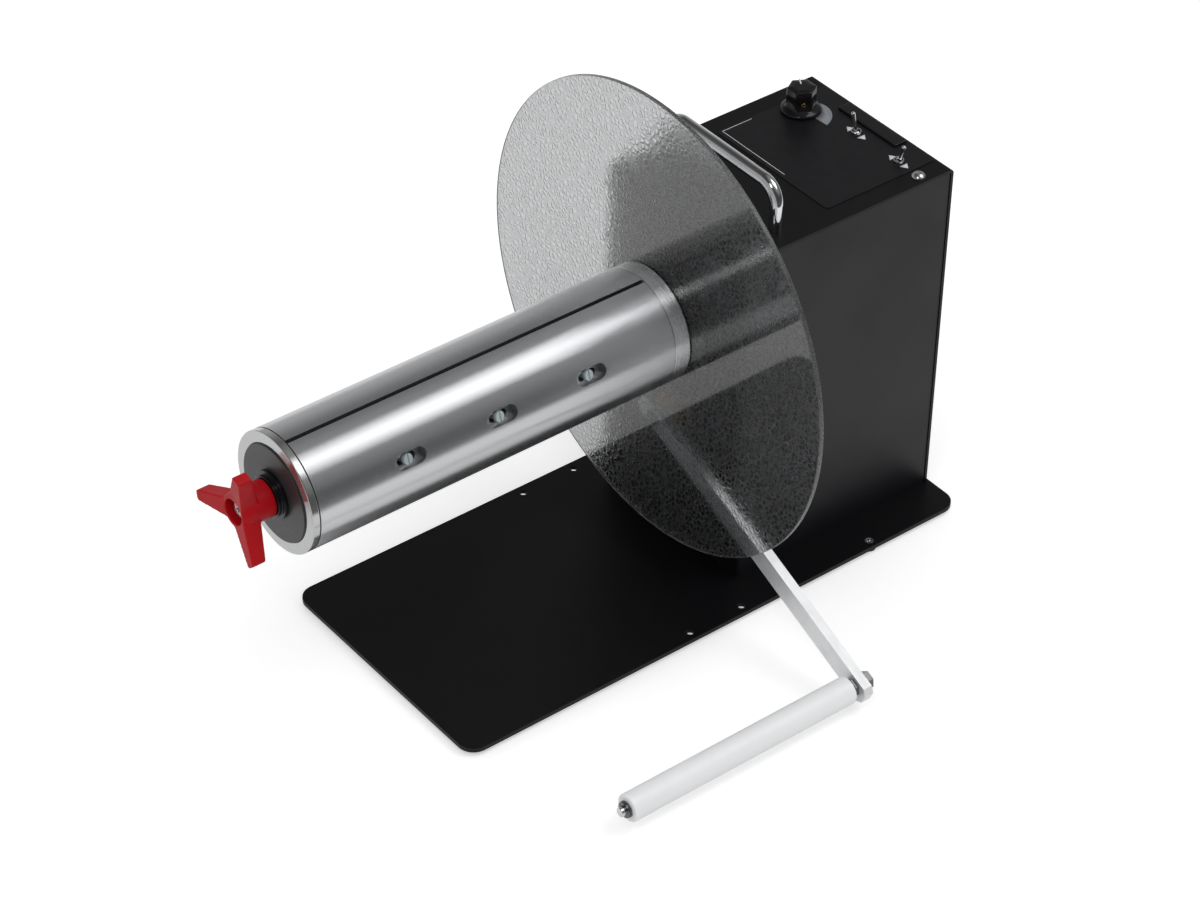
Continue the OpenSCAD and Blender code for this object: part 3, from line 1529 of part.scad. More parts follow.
base_plate();
rubber_feet();
rear_foot_screws();
box_cover();
right_side_panel();
left_side_panel();
top_screws();
base_screws();
front_plate();
bearing_block();
bearing_block_screws();
ball_bearings();
carry_handle();
handle_screws();
control_overlay();
badge_plate();
torque_potentiometer();
toggle_switches();
motor_bracket();
gear_motor();
motor_screws();
control_board();
board_standoffs();
power_inlet();
arm_bush();
stop_pins();
arm_position_sensor();
arm_return_spring();
main_shaft();
bearing_inner_rings();
chuck_rear_ring();
chuck_front_ring();
flange_gasket();
flange_disc();
flange_hub();
flange_screws();
spindle_gear();
end_disc();
thrust_collar();
wing_knob();
draw_screw();
knob_screw();
wedge_core();
draw_nut();
cross_pin();
shell_screws();
chuck_shell_1();
chuck_shell_2();
chuck_shell_3();
tension_arm();
arm_shaft();
roller_shaft();
arm_fasteners();
guide_roller();
torque_knob();
torque_knob_shaft();
direction_toggle();
torque_toggle();
motor_pinion();
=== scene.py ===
"""Looks of a powered label unwinder: expanding chuck, clear side flange, tension arm and drive box.

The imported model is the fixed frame. X runs to the right, Y to the back and Z up. Sizes in the
classes are millimetres; meshes are handed over in metres. Every piece takes its place from the
nodes of the frame.
"""
import functools
import json
import logging
import math
from collections.abc import Iterable, Sequence
from dataclasses import dataclass
from enum import Enum

import bmesh
import bpy
from mathutils import Matrix, Vector

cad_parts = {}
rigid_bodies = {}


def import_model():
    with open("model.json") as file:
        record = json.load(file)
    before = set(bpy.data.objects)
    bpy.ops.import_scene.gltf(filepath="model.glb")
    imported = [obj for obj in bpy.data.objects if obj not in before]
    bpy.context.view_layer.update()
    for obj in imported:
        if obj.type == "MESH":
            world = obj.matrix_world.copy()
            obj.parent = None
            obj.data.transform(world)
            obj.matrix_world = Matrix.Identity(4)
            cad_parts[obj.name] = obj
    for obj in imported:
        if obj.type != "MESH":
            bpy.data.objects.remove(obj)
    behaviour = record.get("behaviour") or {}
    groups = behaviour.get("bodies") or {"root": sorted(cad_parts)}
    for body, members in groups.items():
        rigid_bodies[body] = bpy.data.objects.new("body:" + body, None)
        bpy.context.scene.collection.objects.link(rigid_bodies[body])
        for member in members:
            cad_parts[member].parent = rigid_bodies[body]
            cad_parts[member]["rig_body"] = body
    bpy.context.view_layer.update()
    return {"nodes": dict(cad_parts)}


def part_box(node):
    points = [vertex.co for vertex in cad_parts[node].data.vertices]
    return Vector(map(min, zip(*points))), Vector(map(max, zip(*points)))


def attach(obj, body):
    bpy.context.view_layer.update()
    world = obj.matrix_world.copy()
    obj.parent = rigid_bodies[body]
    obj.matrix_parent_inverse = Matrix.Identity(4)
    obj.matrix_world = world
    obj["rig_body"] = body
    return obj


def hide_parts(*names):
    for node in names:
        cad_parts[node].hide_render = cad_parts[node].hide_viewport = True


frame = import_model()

LOG = logging.getLogger("unwinder")
MM = 0.001

Colour = tuple[float, float, float]
Corner = tuple[float, float, float]


# Node graphs and finishes


class Graph:
    """Node tree with short calls for the nodes that the finishes and the surroundings share."""

    def __init__(self, tree: bpy.types.NodeTree) -> None:
        """Takes a node tree and empties it.

        Args:
            tree: The node tree.
        """
        self.tree = tree
        tree.nodes.clear()

    def add(self, kind: str, **settings: object) -> bpy.types.Node:
        """Adds a node.

        Args:
            kind: Blender's name of the node type.
            settings: Properties of the node.

        Returns:
            The node.
        """
        node = self.tree.nodes.new(kind)
        for key, value in settings.items():
            setattr(node, key, value)
        return node

    def feed(self, socket: bpy.types.NodeSocket, value: object) -> None:
        """Links another socket to this one, or sets its value.

        Args:
            socket: Input to feed.
            value: An output socket, a number, or a colour of three numbers.
        """
        if isinstance(value, bpy.types.NodeSocket):
            self.tree.links.new(value, socket)
        elif isinstance(value, tuple) and len(value) == 3 and socket.type == "RGBA":
            socket.default_value = (*value, 1.0)
        else:
            socket.default_value = value

    def calc(self, operation: str, *values: object) -> bpy.types.NodeSocket:
        """Result of a math node.

        Args:
            operation: Blender's name of the operation.
            values: Its inputs, sockets or numbers.

        Returns:
            The result's socket.
        """
        node = self.add("ShaderNodeMath", operation=operation)
        for socket, value in zip(node.inputs, values):
            self.feed(socket, value)
        return node.outputs[0]

    def vector(self, operation: str, *values: object) -> bpy.types.NodeSocket:
        """Result of a vector math node.

        Args:
            operation: Blender's name of the operation.
            values: Its inputs, sockets or vectors.

        Returns:
            The result's socket, which is a number for a dot product.
        """
        node = self.add("ShaderNodeVectorMath", operation=operation)
        for socket, value in zip(node.inputs, values):
            self.feed(socket, value)
        return node.outputs["Value" if operation == "DOT_PRODUCT" else "Vector"]

    def parts(self, vector: bpy.types.NodeSocket) -> bpy.types.NodeOutputs:
        """X, Y and Z of a vector.

        Args:
            vector: The vector's socket.

        Returns:
            The three numbers' sockets.
        """
        node = self.add("ShaderNodeSeparateXYZ")
        self.feed(node.inputs[0], vector)
        return node.outputs

    def joined(self, x: object, y: object, z: object) -> bpy.types.NodeSocket:
        """Vector of three numbers.

        Args:
            x: Socket or number along X.
            y: The same along Y.
            z: The same along Z.

        Returns:
            The vector's socket.
        """
        node = self.add("ShaderNodeCombineXYZ")
        for socket, value in zip(node.inputs, (x, y, z)):
            self.feed(socket, value)
        return node.outputs[0]

    def ramp(self, value: object, low: float, high: float, start: float = 0.0, end: float = 1.0,
             smooth: bool = True) -> bpy.types.NodeSocket:
        """Maps a value from one range to another and keeps it inside.

        Args:
            value: Socket to map.
            low: Value that becomes start.
            high: Value that becomes end.
            start: Result at low.
            end: Result at high.
            smooth: Eases in and out when true.

        Returns:
            The mapped value.
        """
        node = self.add("ShaderNodeMapRange", interpolation_type="SMOOTHSTEP" if smooth else "LINEAR")
        for socket, number in zip(node.inputs, (value, low, high, start, end)):
            self.feed(socket, number)
        return node.outputs[0]

    def blend(self, share: object, first: object, second: object) -> bpy.types.NodeSocket:
        """Mixes two colours.

        Args:
            share: How much of the second colour shows.
            first: Colour at a share of 0.
            second: Colour at a share of 1.

        Returns:
            The mixed colour.
        """
        node = self.add("ShaderNodeMix", data_type="RGBA")
        for key, value in ((0, share), (6, first), (7, second)):
            self.feed(node.inputs[key], value)
        return node.outputs[2]

    def place(self, stretch: Corner = (1.0, 1.0, 1.0)) -> bpy.types.NodeSocket:
        """Place on the piece in millimetres, each axis divided by its stretch.

        Args:
            stretch: How much longer the pattern gets along each axis.

        Returns:
            The vector's socket.
        """
        coordinates = self.add("ShaderNodeTexCoord")
        mapping = self.add("ShaderNodeMapping")
        self.feed(mapping.inputs["Vector"], coordinates.outputs["Object"])
        self.feed(mapping.inputs["Scale"], tuple(1.0 / (MM * s) for s in stretch))
        return mapping.outputs[0]

    def noise(self, where: bpy.types.NodeSocket, size: float, detail: float = 3.0,
              roughness: float = 0.55) -> bpy.types.NodeSocket:
        """Cloudy noise from 0 to 1.

        Args:
            where: Place in millimetres.
            size: Size of a cloud in millimetres.
            detail: Number of finer layers.
            roughness: Strength of the finer layers.

        Returns:
            The noise's socket.
        """
        node = self.add("ShaderNodeTexNoise")
        for key, value in (("Vector", where), ("Scale", 1.0 / size), ("Detail", detail),
                           ("Roughness", roughness)):
            self.feed(node.inputs[key], value)
        return node.outputs[0]

    def cells(self, where: bpy.types.NodeSocket, size: float, feature: str = "F1") -> bpy.types.NodeSocket:
        """Distance pattern of irregular cells.

        Args:
            where: Place in millimetres.
            size: Size of a cell in millimetres.
            feature: Blender's name of the distance.

        Returns:
            The distance's socket.
        """
        node = self.add("ShaderNodeTexVoronoi", feature=feature)
        self.feed(node.inputs["Vector"], where)
        self.feed(node.inputs["Scale"], 1.0 / size)
        return node.outputs["Distance"]

    def about_axis(self, centre: tuple[float, float]) -> tuple[bpy.types.NodeSocket, ...]:
        """Place next to an axis along Y.

        Args:
            centre: The axis as X and Z in millimetres.

        Returns:
            How far to the right of the axis, the place along Y, and how far over the axis.
        """
        where = self.parts(self.place())
        across = self.calc("SUBTRACT", where[0], centre[0])
        height = self.calc("SUBTRACT", where[2], centre[1])
        return across, where[1], height

    def world_direction(self, x: object, z: object) -> bpy.types.NodeSocket:
        """Direction across the Y axis, from the piece's axes to the world's.

        Args:
            x: Its part along X.
            z: Its part along Z.

        Returns:
            The direction's socket, of length 1.
        """
        turn = self.add("ShaderNodeVectorTransform", vector_type="VECTOR", convert_from="OBJECT",
                        convert_to="WORLD")
        self.feed(turn.inputs[0], self.joined(x, 0.0, z))
        return self.vector("NORMALIZE", turn.outputs[0])

    def turned(self, centre: tuple[float, float], ring: float, sweep: float) -> bpy.types.NodeSocket:
        """Place for marks that run round an axis along Y: fine across them, long round the axis.

        On the round side they lie next to each other along Y, on an end face by their radius.

        Args:
            centre: The axis as X and Z in millimetres.
            ring: Width of a mark in millimetres.
            sweep: Length of a mark in degrees.

        Returns:
            The vector's socket.
        """
        across, along, height = self.about_axis(centre)
        radius = self.calc("SQRT", self.calc("ADD", self.calc("MULTIPLY", across, across),
                                             self.calc("MULTIPLY", height, height)))
        turn = self.calc("ARCTAN2", height, across)
        facing = self.parts(self.add("ShaderNodeTexCoord").outputs["Normal"])
        on_end = self.ramp(self.calc("ABSOLUTE", facing[1]), 0.3, 0.7)
        return self.joined(self.calc("MULTIPLY", on_end, self.calc("DIVIDE", radius, ring)),
                           self.calc("DIVIDE", along, ring),
                           self.calc("DIVIDE", turn, math.radians(sweep)))

    def lathe_direction(self, centre: tuple[float, float]) -> bpy.types.NodeSocket:
        """Direction of the tool's marks round an axis along Y.

        Args:
            centre: The axis as X and Z in millimetres.

        Returns:
            The direction's socket, in the world's axes.
        """
        across, _, height = self.about_axis(centre)
        return self.world_direction(self.calc("MULTIPLY", height, -1.0), across)

    def round_side(self, centre: tuple[float, float]) -> bpy.types.NodeSocket:
        """Exact normal of a round side about an axis along Y, so that no facets show.

        Args:
            centre: The axis as X and Z in millimetres.

        Returns:
            The normal's socket, in the world's axes. Ends and rounded edges keep their own.
        """
        across, _, height = self.about_axis(centre)
        outward = self.world_direction(across, height)
        surface = self.add("ShaderNodeNewGeometry")
        match = self.vector("DOT_PRODUCT", outward, surface.outputs["True Normal"])
        choice = self.add("ShaderNodeMix", data_type="VECTOR")
        for key, value in ((0, self.ramp(match, 0.985, 0.995)), (4, surface.outputs["Normal"]), (5, outward)):
            self.feed(choice.inputs[key], value)
        return choice.outputs[1]

    def bump(self, height: object, depth: float,
             under: bpy.types.NodeSocket | None = None) -> bpy.types.NodeSocket:
        """Normal of a surface raised by a height.

        Args:
            height: Height from 0 to 1.
            depth: Height of 1 in millimetres.
            under: Normal that this one lies on.

        Returns:
            The normal's socket.
        """
        node = self.add("ShaderNodeBump")
        self.feed(node.inputs["Distance"], depth * MM)
        self.feed(node.inputs["Height"], height)
        if under is not None:
            self.feed(node.inputs["Normal"], under)
        return node.outputs[0]


class SurfaceGraph(Graph):
    """Node tree of a new material with a principled surface."""

    def __init__(self, name: str) -> None:
        """Starts the material.

        Args:
            name: Name of the material.
        """
        self.material = bpy.data.materials.new(name)
        self.material.use_nodes = True
        super().__init__(self.material.node_tree)
        self.output = self.add("ShaderNodeOutputMaterial")
        self.shader = self.add("ShaderNodeBsdfPrincipled")
        self.feed(self.output.inputs[0], self.shader.outputs[0])

    def surface(self, **values: object) -> None:
        """Sets inputs of the principled surface.

        Args:
            values: Socket names with underscores for spaces, and what feeds them.
        """
        for key, value in values.items():
            self.feed(self.shader.inputs[key.replace("_", " ")], value)


def darker(colour: Colour, share: float) -> Colour:
    """Colour times a share."""
    return tuple(c * share for c in colour)


@dataclass(frozen=True)
class Finish:
    """A finish that makes its own material.

    Attributes:
        name: Name of the material.
        slot: Slot of the record that the finish stands for.
    """

    name: str
    slot: str

    def make(self) -> bpy.types.Material:
        """Builds the material's nodes.

        Returns:
            The material.
        """
        raise NotImplementedError


@functools.cache
def material_of(finish: Finish) -> bpy.types.Material:
    """Material of a finish, made once.

    Args:
        finish: The finish.

    Returns:
        Its material.
    """
    return finish.make()


@dataclass(frozen=True)
class PowderCoat(Finish):
    """Satin powder coat with a fine orange peel and a few faint rubs.

    Attributes:
        colour: Colour of the coat.
        rub_colour: Colour of the rubbed spots.
        roughness: Roughness of the coat.
        peel: Size of the orange peel in millimetres.
        peel_depth: Depth of the orange peel in millimetres.
        gloss: Refraction of the coat.
    """

    colour: Colour
    rub_colour: Colour
    roughness: float = 0.42
    peel: float = 0.7
    peel_depth: float = 0.012
    gloss: float = 1.4

    def make(self) -> bpy.types.Material:
        """Builds peel, clouding and rubs.

        Returns:
            The material.
        """
        g = SurfaceGraph(self.name)
        at = g.place()
        cloud = g.noise(at, 60.0, 4.0)
        rub = g.ramp(g.noise(g.place((9.0, 1.0, 1.0)), 14.0, 6.0, 0.7), 0.66, 0.82)
        speck = g.ramp(g.cells(at, 23.0), 0.0, 0.03, 1.0, 0.0)
        wear = g.calc("MAXIMUM", g.calc("MULTIPLY", rub, 0.35), g.calc("MULTIPLY", speck, 0.5))
        g.surface(Base_Color=g.blend(wear, self.colour, self.rub_colour),
                  Roughness=g.ramp(cloud, 0.2, 0.8, self.roughness - 0.05, self.roughness + 0.06),
                  Normal=g.bump(g.noise(at, self.peel, 2.0), self.peel_depth), IOR=self.gloss)
        return g.material


@dataclass(frozen=True)
class TurnedMetal(Finish):
    """Bare metal with marks of the lathe round an axis along Y.

    Attributes:
        colour: Colour of the metal.
        centre: The axis as X and Z in millimetres.
        smooth: Roughness where the marks are fine.
        coarse: Roughness where the marks are coarse.
        ring: Width of a mark in millimetres.
        mark_depth: Depth of a mark in millimetres.
        streak: How far a highlight is drawn out across the marks.
        metal: Share of light that is mirrored, the rest being scattered by the marks.
        dull: Brightness of the duller marks next to the colour.
        exact: Hides the facets of the round side.
    """

    colour: Colour
    centre: tuple[float, float]
    smooth: float = 0.2
    coarse: float = 0.3
    ring: float = 0.14
    mark_depth: float = 0.0004
    streak: float = 0.95
    metal: float = 0.9
    dull: float = 0.93
    exact: bool = False

    def make(self) -> bpy.types.Material:
        """Builds marks of two widths over faint stains.

        Returns:
            The material.
        """
        g = SurfaceGraph(self.name)
        fine = g.noise(g.turned(self.centre, self.ring, 40.0), 1.0, 3.0, 0.6)
        wide = g.noise(g.turned(self.centre, self.ring * 14.0, 70.0), 1.0, 3.0)
        stain = g.noise(g.place(), 30.0, 3.0, 0.5)
        tone = g.calc("ADD", g.calc("MULTIPLY", fine, 0.55),
                      g.calc("ADD", g.calc("MULTIPLY", stain, 0.35), g.calc("MULTIPLY", wide, 0.1)))
        spread = g.calc("ADD", g.calc("MULTIPLY", fine, 0.9), g.calc("MULTIPLY", wide, 0.1))
        under = g.round_side(self.centre) if self.exact else None
        g.surface(Base_Color=g.blend(g.ramp(tone, 0.3, 0.7), self.colour, darker(self.colour, self.dull)),
                  Metallic=self.metal, Roughness=g.ramp(spread, 0.2, 0.8, self.smooth, self.coarse),
                  Normal=g.bump(fine, self.mark_depth, under), Anisotropic=self.streak,
                  Anisotropic_Rotation=0.25, Tangent=g.lathe_direction(self.centre))
        return g.material


@dataclass(frozen=True)
class DrawnBar(Finish):
    """Bare bar with long scratches along its own length.

    Attributes:
        colour: Colour of the metal.
        slope: Slope of the bar below the level, in degrees.
        roughness: Mean roughness.
        line: Width of a scratch in millimetres.
        line_depth: Depth of a scratch in millimetres.
        stretch: How much longer than wide a scratch is.
        metal: Share of light that is mirrored, the rest being scattered by the scratches.
    """

    colour: Colour
    slope: float
    roughness: float = 0.42
    line: float = 0.3
    line_depth: float = 0.003
    stretch: float = 50.0
    metal: float = 0.6

    def make(self) -> bpy.types.Material:
        """Builds scratches along the sloping bar.

        Returns:
            The material.
        """
        g = SurfaceGraph(self.name)
        turn = g.add("ShaderNodeVectorRotate", rotation_type="Y_AXIS")
        g.feed(turn.inputs["Vector"], g.place())
        g.feed(turn.inputs["Angle"], -math.radians(self.slope))
        squeezed = g.vector("MULTIPLY", turn.outputs[0], (1.0 / self.stretch, 1.0, 1.0))
        scratch = g.noise(squeezed, self.line, 3.0, 0.7)
        stain = g.ramp(g.noise(g.place(), 16.0, 4.0), 0.4, 0.7)
        g.surface(Base_Color=g.blend(stain, self.colour, darker(self.colour, 0.92)), Metallic=self.metal,
                  Roughness=g.ramp(scratch, 0.3, 0.7, self.roughness - 0.08, self.roughness + 0.1),
                  Normal=g.bump(scratch, self.line_depth))
        return g.material


@dataclass(frozen=True)
class PlatedMetal(Finish):
    """Plated or polished metal with faint handling marks.

    Attributes:
        colour: Colour of the metal.
        roughness: Roughness of clean spots.
        dull_roughness: Roughness of handled spots.
        grain: Size of the marks in millimetres.
        grain_depth: Depth of the marks in millimetres.
        metal: Share of light that is mirrored, the rest being scattered by the coat.
    """

    colour: Colour
    roughness: float
    dull_roughness: float
    grain: float = 1.2
    grain_depth: float = 0.002
    metal: float = 1.0

    def make(self) -> bpy.types.Material:
        """Builds marks and dull spots.

        Returns:
            The material.
        """
        g = SurfaceGraph(self.name)
        at = g.place()
        grain = g.noise(at, self.grain, 4.0, 0.6)
        patch = g.noise(at, self.grain * 8.0, 3.0)
        g.surface(Base_Color=g.blend(g.ramp(patch, 0.4, 0.8), self.colour, darker(self.colour, 0.85)),
                  Metallic=self.metal,
                  Roughness=g.ramp(patch, 0.35, 0.75, self.roughness, self.dull_roughness),
                  Normal=g.bump(grain, self.grain_depth))
        return g.material


@dataclass(frozen=True)
class MouldedPlastic(Finish):
    """Moulded or machined plastic with a fine grain.

    Attributes:
        colour: Colour of the plastic.
        roughness: Mean roughness.
        grain: Size of the grain in millimetres.
        grain_depth: Depth of the grain in millimetres.
        glow: Share of light that spreads under the surface.
        glow_depth: How far it spreads in millimetres.
        gloss: Refraction of the plastic.
        cloud: Brightness of the darker clouds next to the colour.
    """

    colour: Colour
    roughness: float
    grain: float = 0.5
    grain_depth: float = 0.01
    glow: float = 0.0
    glow_depth: float = 1.5
    gloss: float = 1.45
    cloud: float = 0.82

    def make(self) -> bpy.types.Material:
        """Builds grain, clouding and a little depth in pale plastics.

        Returns:
            The material.
        """
        g = SurfaceGraph(self.name)
        at = g.place()
        cloud = g.noise(at, 9.0, 4.0)
        g.surface(Base_Color=g.blend(g.ramp(cloud, 0.4, 0.75), self.colour, darker(self.colour, self.cloud)),
                  Roughness=g.ramp(cloud, 0.3, 0.7, self.roughness - 0.04, self.roughness + 0.05),
                  Normal=g.bump(g.noise(at, self.grain, 2.0), self.grain_depth),
                  IOR=self.gloss, Subsurface_Weight=self.glow, Subsurface_Scale=self.glow_depth * MM,
                  Subsurface_Radius=(1.0, 1.0, 1.0))
        return g.material


@dataclass(frozen=True)
class ScuffedPlate(Finish):
    """Machined dark plastic face with lathe rings and short pale scuffs.

    Attributes:
        colour: Colour of the face.
        scuff_colour: Colour of the scuffs.
        centre: The axis as X and Z in millimetres.
    """

    colour: Colour
    scuff_colour: Colour
    centre: tuple[float, float]

    def make(self) -> bpy.types.Material:
        """Builds rings and scuffs.

        Returns:
            The material.
        """
        g = SurfaceGraph(self.name)
        rings = g.noise(g.turned(self.centre, 0.3, 90.0), 1.0, 2.0)
        scuff = g.ramp(g.noise(g.place((1.0, 1.0, 4.0)), 3.2, 5.0, 0.75), 0.68, 0.8)
        g.surface(Base_Color=g.blend(g.calc("MULTIPLY", scuff, 0.6), self.colour, self.scuff_colour),
                  Roughness=g.ramp(rings, 0.3, 0.7, 0.28, 0.42), Normal=g.bump(rings, 0.006))
        return g.material


class SheetSide(Enum):
    """Side of the clear sheet that a finish is for."""

    GLOSSY = "glossy"
    PEBBLED = "pebbled"
    RIM = "rim"


@dataclass(frozen=True)
class ClearSheet(Finish):
    """Clear plastic sheet, smooth in front and pebbled behind.

    Attributes:
        side: Side of the sheet.
        colour: Tint of the sheet.
        pebble: Size of a pebble in millimetres.
        pebble_depth: Height of a pebble in millimetres.
        haze: Share of light that the lines between the pebbles scatter.
        veil: Share of light that the whole sheet scatters.
        refraction: Refraction of the sheet.
    """

    side: SheetSide
    colour: Colour = (0.59, 0.595, 0.605)
    pebble: float = 3.6
    pebble_depth: float = 0.14
    haze: float = 0.14
    veil: float = 0.013
    refraction: float = 1.49

    def make(self) -> bpy.types.Material:
        """Builds the side's surface.

        Returns:
            The material.
        """
        g = SurfaceGraph(self.name)
        sides = {SheetSide.GLOSSY: self.glossy, SheetSide.PEBBLED: self.pebbled, SheetSide.RIM: self.rim}
        sides[self.side](g)
        g.surface(Base_Color=self.colour, IOR=self.refraction)
        return g.material

    def glossy(self, g: SurfaceGraph) -> None:
        """Smooth side with faint waves under a glossy skin.

        Args:
            g: Nodes of the material.
        """
        wave = g.noise(g.place(), 30.0, 2.0)
        g.surface(Roughness=g.ramp(wave, 0.3, 0.7, 0.03, 0.06), Normal=g.bump(wave, 0.01),
                  Transmission_Weight=1.0, Coat_Weight=0.5, Coat_IOR=1.5, Coat_Roughness=0.03)

    def pebbled(self, g: SurfaceGraph) -> None:
        """Side of irregular low domes with hazy lines between them.

        Args:
            g: Nodes of the material.
        """
        at = g.place()
        shift = g.add("ShaderNodeTexNoise")
        g.feed(shift.inputs["Vector"], at)
        g.feed(shift.inputs["Scale"], 1.0 / (self.pebble * 1.4))
        edge = g.cells(g.vector("ADD", at, shift.outputs["Color"]), self.pebble, "DISTANCE_TO_EDGE")
        dome = g.ramp(edge, 0.0, 0.3)
        grain = g.ramp(g.noise(at, 0.9, 3.0), 0.3, 0.7, 0.4, 1.6)
        line = g.calc("MULTIPLY", g.ramp(edge, 0.0, 0.12, 1.0, 0.0), self.haze)
        clear = g.calc("SUBTRACT", 1.0 - self.veil, g.calc("MULTIPLY", line, grain))
        g.surface(Roughness=g.ramp(dome, 0.0, 1.0, 0.3, 0.14), Normal=g.bump(dome, self.pebble_depth),
                  Transmission_Weight=clear)

    def rim(self, g: SurfaceGraph) -> None:
        """Sawn edge with marks across the sheet.

        Args:
            g: Nodes of the material.
        """
        saw = g.noise(g.place((1.0, 0.2, 1.0)), 0.6, 3.0)
        g.surface(Roughness=g.ramp(saw, 0.3, 0.7, 0.2, 0.35), Normal=g.bump(saw, 0.02),
                  Transmission_Weight=0.97)


@dataclass(frozen=True)
class Ink(Finish):
    """Screen-printed ink with a slightly uneven cover.

    Attributes:
        colour: Colour of the ink.
    """

    colour: Colour

    def make(self) -> bpy.types.Material:
        """Builds the ink's cover.

        Returns:
            The material.
        """
        g = SurfaceGraph(self.name)
        cover = g.noise(g.place(), 0.8, 3.0)
        tone = g.blend(g.ramp(cover, 0.35, 0.75), self.colour, darker(self.colour, 0.85))
        g.surface(Base_Color=tone, Roughness=0.5, Normal=g.bump(cover, 0.004))
        return g.material


AXIS = (-2.0, 170.5)
ARM_SLOPE = 23.9

BLACK_PAINT = PowderCoat("black powder coat", "black_paint", (0.003, 0.003, 0.0042), (0.014, 0.014, 0.016),
                         gloss=1.33)
PANEL_PAINT = PowderCoat("charcoal powder coat", "panel_paint", (0.0055, 0.0055, 0.008), (0.02, 0.02, 0.022))
SHELL_METAL = TurnedMetal("turned shell aluminium", "turned_aluminium", (0.665, 0.675, 0.69), AXIS,
                          0.262, 0.27, mark_depth=0.00007, dull=0.985, exact=True)
# Same aluminium as the shells: the higher roughness and missing streak are the dull milled finish, and the
# darker colour is painted shade in the slots and on the ends.
SHADED_SLOT_METAL = TurnedMetal("milled slot aluminium with painted shade", "turned_aluminium", (0.30, 0.31, 0.32), AXIS, 0.35, 0.5,
                         streak=0.0)
RING_METAL = TurnedMetal("bright ring aluminium", "turned_aluminium", (0.58, 0.585, 0.59), AXIS, 0.12, 0.18,
                         mark_depth=0.0001, dull=0.97, exact=True)
REAR_METAL = TurnedMetal("rear ring aluminium", "turned_aluminium", (0.80, 0.81, 0.82), AXIS, 0.22, 0.3,
                         mark_depth=0.0001, dull=0.97, exact=True)
HOUSING_METAL = TurnedMetal("housing aluminium", "turned_aluminium", (0.66, 0.67, 0.68), AXIS, 0.3, 0.45)
ARM_BAR = DrawnBar("satin arm bar", "bar_aluminium", (0.89, 0.90, 0.91), ARM_SLOPE)
ZINC = PlatedMetal("zinc-plated steel", "steel", (0.74, 0.75, 0.76), 0.2, 0.34)
GROUND_STEEL = TurnedMetal("ground steel", "steel", (0.55, 0.55, 0.56), AXIS, 0.2, 0.34)
DARK_STEEL = PlatedMetal("darkened steel", "dark_steel", (0.16, 0.16, 0.165), 0.2, 0.35)
CHROME = PlatedMetal("bright chrome", "chrome", (0.82, 0.83, 0.84), 0.04, 0.09, 2.0, 0.0001)
SCREW_ZINC = PlatedMetal("blue zinc screws", "steel", (0.66, 0.75, 0.76), 0.24, 0.34, metal=0.45)
BRASS = PlatedMetal("turned brass", "brass", (0.78, 0.52, 0.2), 0.2, 0.34)
RED_PLASTIC = MouldedPlastic("red moulded plastic", "red_plastic", (0.47, 0.003, 0.008), 0.42, 0.6, 0.008,
                             gloss=1.27, cloud=0.92)
WHITE_PLASTIC = MouldedPlastic("white acetal", "white_plastic", (0.93, 0.94, 0.95), 0.34, 2.0, 0.006, 0.2,
                               cloud=0.98)
GLOSS_BLACK = MouldedPlastic("glossy black plastic", "black_plastic", (0.007, 0.007, 0.008), 0.16, 0.8, 0.003)
SATIN_BLACK = MouldedPlastic("satin black plastic", "black_plastic", (0.011, 0.011, 0.012), 0.34, 0.5, 0.008)
OVERLAY_FILM = MouldedPlastic("matte overlay film", "overlay", (0.0065, 0.0065, 0.0085), 0.4, 0.25, 0.006,
                              gloss=1.38)
RUBBER = MouldedPlastic("black rubber", "rubber", (0.016, 0.016, 0.017), 0.62, 0.4, 0.02)
BOARD = MouldedPlastic("green board", "board_green", (0.02, 0.16, 0.06), 0.38, 0.9, 0.01)
END_FACE = ScuffedPlate("machined end face", "grey_plastic", (0.032, 0.032, 0.035), (0.12, 0.12, 0.12), AXIS)
SHEET_FRONT = ClearSheet("clear sheet, glossy", "clear_plastic", SheetSide.GLOSSY)
SHEET_BACK = ClearSheet("clear sheet, pebbled", "clear_plastic", SheetSide.PEBBLED)
SHEET_RIM = ClearSheet("clear sheet, sawn rim", "clear_plastic", SheetSide.RIM)
WHITE_INK = Ink("white ink", "overlay", (0.72, 0.72, 0.74))
GREY_INK = Ink("grey ink", "overlay", (0.24, 0.255, 0.275))


# Meshes


def box_of(node: str) -> tuple[Vector, Vector]:
    """Lowest and highest corner of a node in millimetres.

    Args:
        node: Name of the node.

    Returns:
        The two corners.
    """
    low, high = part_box(node)
    return low / MM, high / MM


def seat(piece: bpy.types.Object, like: str, *nodes: str, finish: Finish | None = None) -> bpy.types.Object:
    """Lets a piece ride with a node's body and hides the nodes it stands for.

    Args:
        piece: The piece.
        like: Node on whose body the piece rides.
        nodes: Nodes that it stands for.
        finish: Not used.

    Returns:
        The piece.
    """
    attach(piece, frame["nodes"][like]["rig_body"])
    if nodes:
        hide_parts(*nodes)
    return piece


def dress(node: str, finish: Finish) -> str:
    """Gives a carried-over node its finish.

    Args:
        node: Name of the node.
        finish: Its finish.

    Returns:
        The node's name.
    """
    carried = frame["nodes"][node]
    for place in carried.material_slots:
        place.material = material_of(finish)
    return node


def placed(name: str, data: bpy.types.ID) -> bpy.types.Object:
    """Object of a mesh, curve, lamp or camera, linked to the scene.

    Args:
        name: Name of the object.
        data: What it shows.

    Returns:
        The object.
    """
    thing = bpy.data.objects.new(name, data)
    bpy.context.scene.collection.objects.link(thing)
    return thing


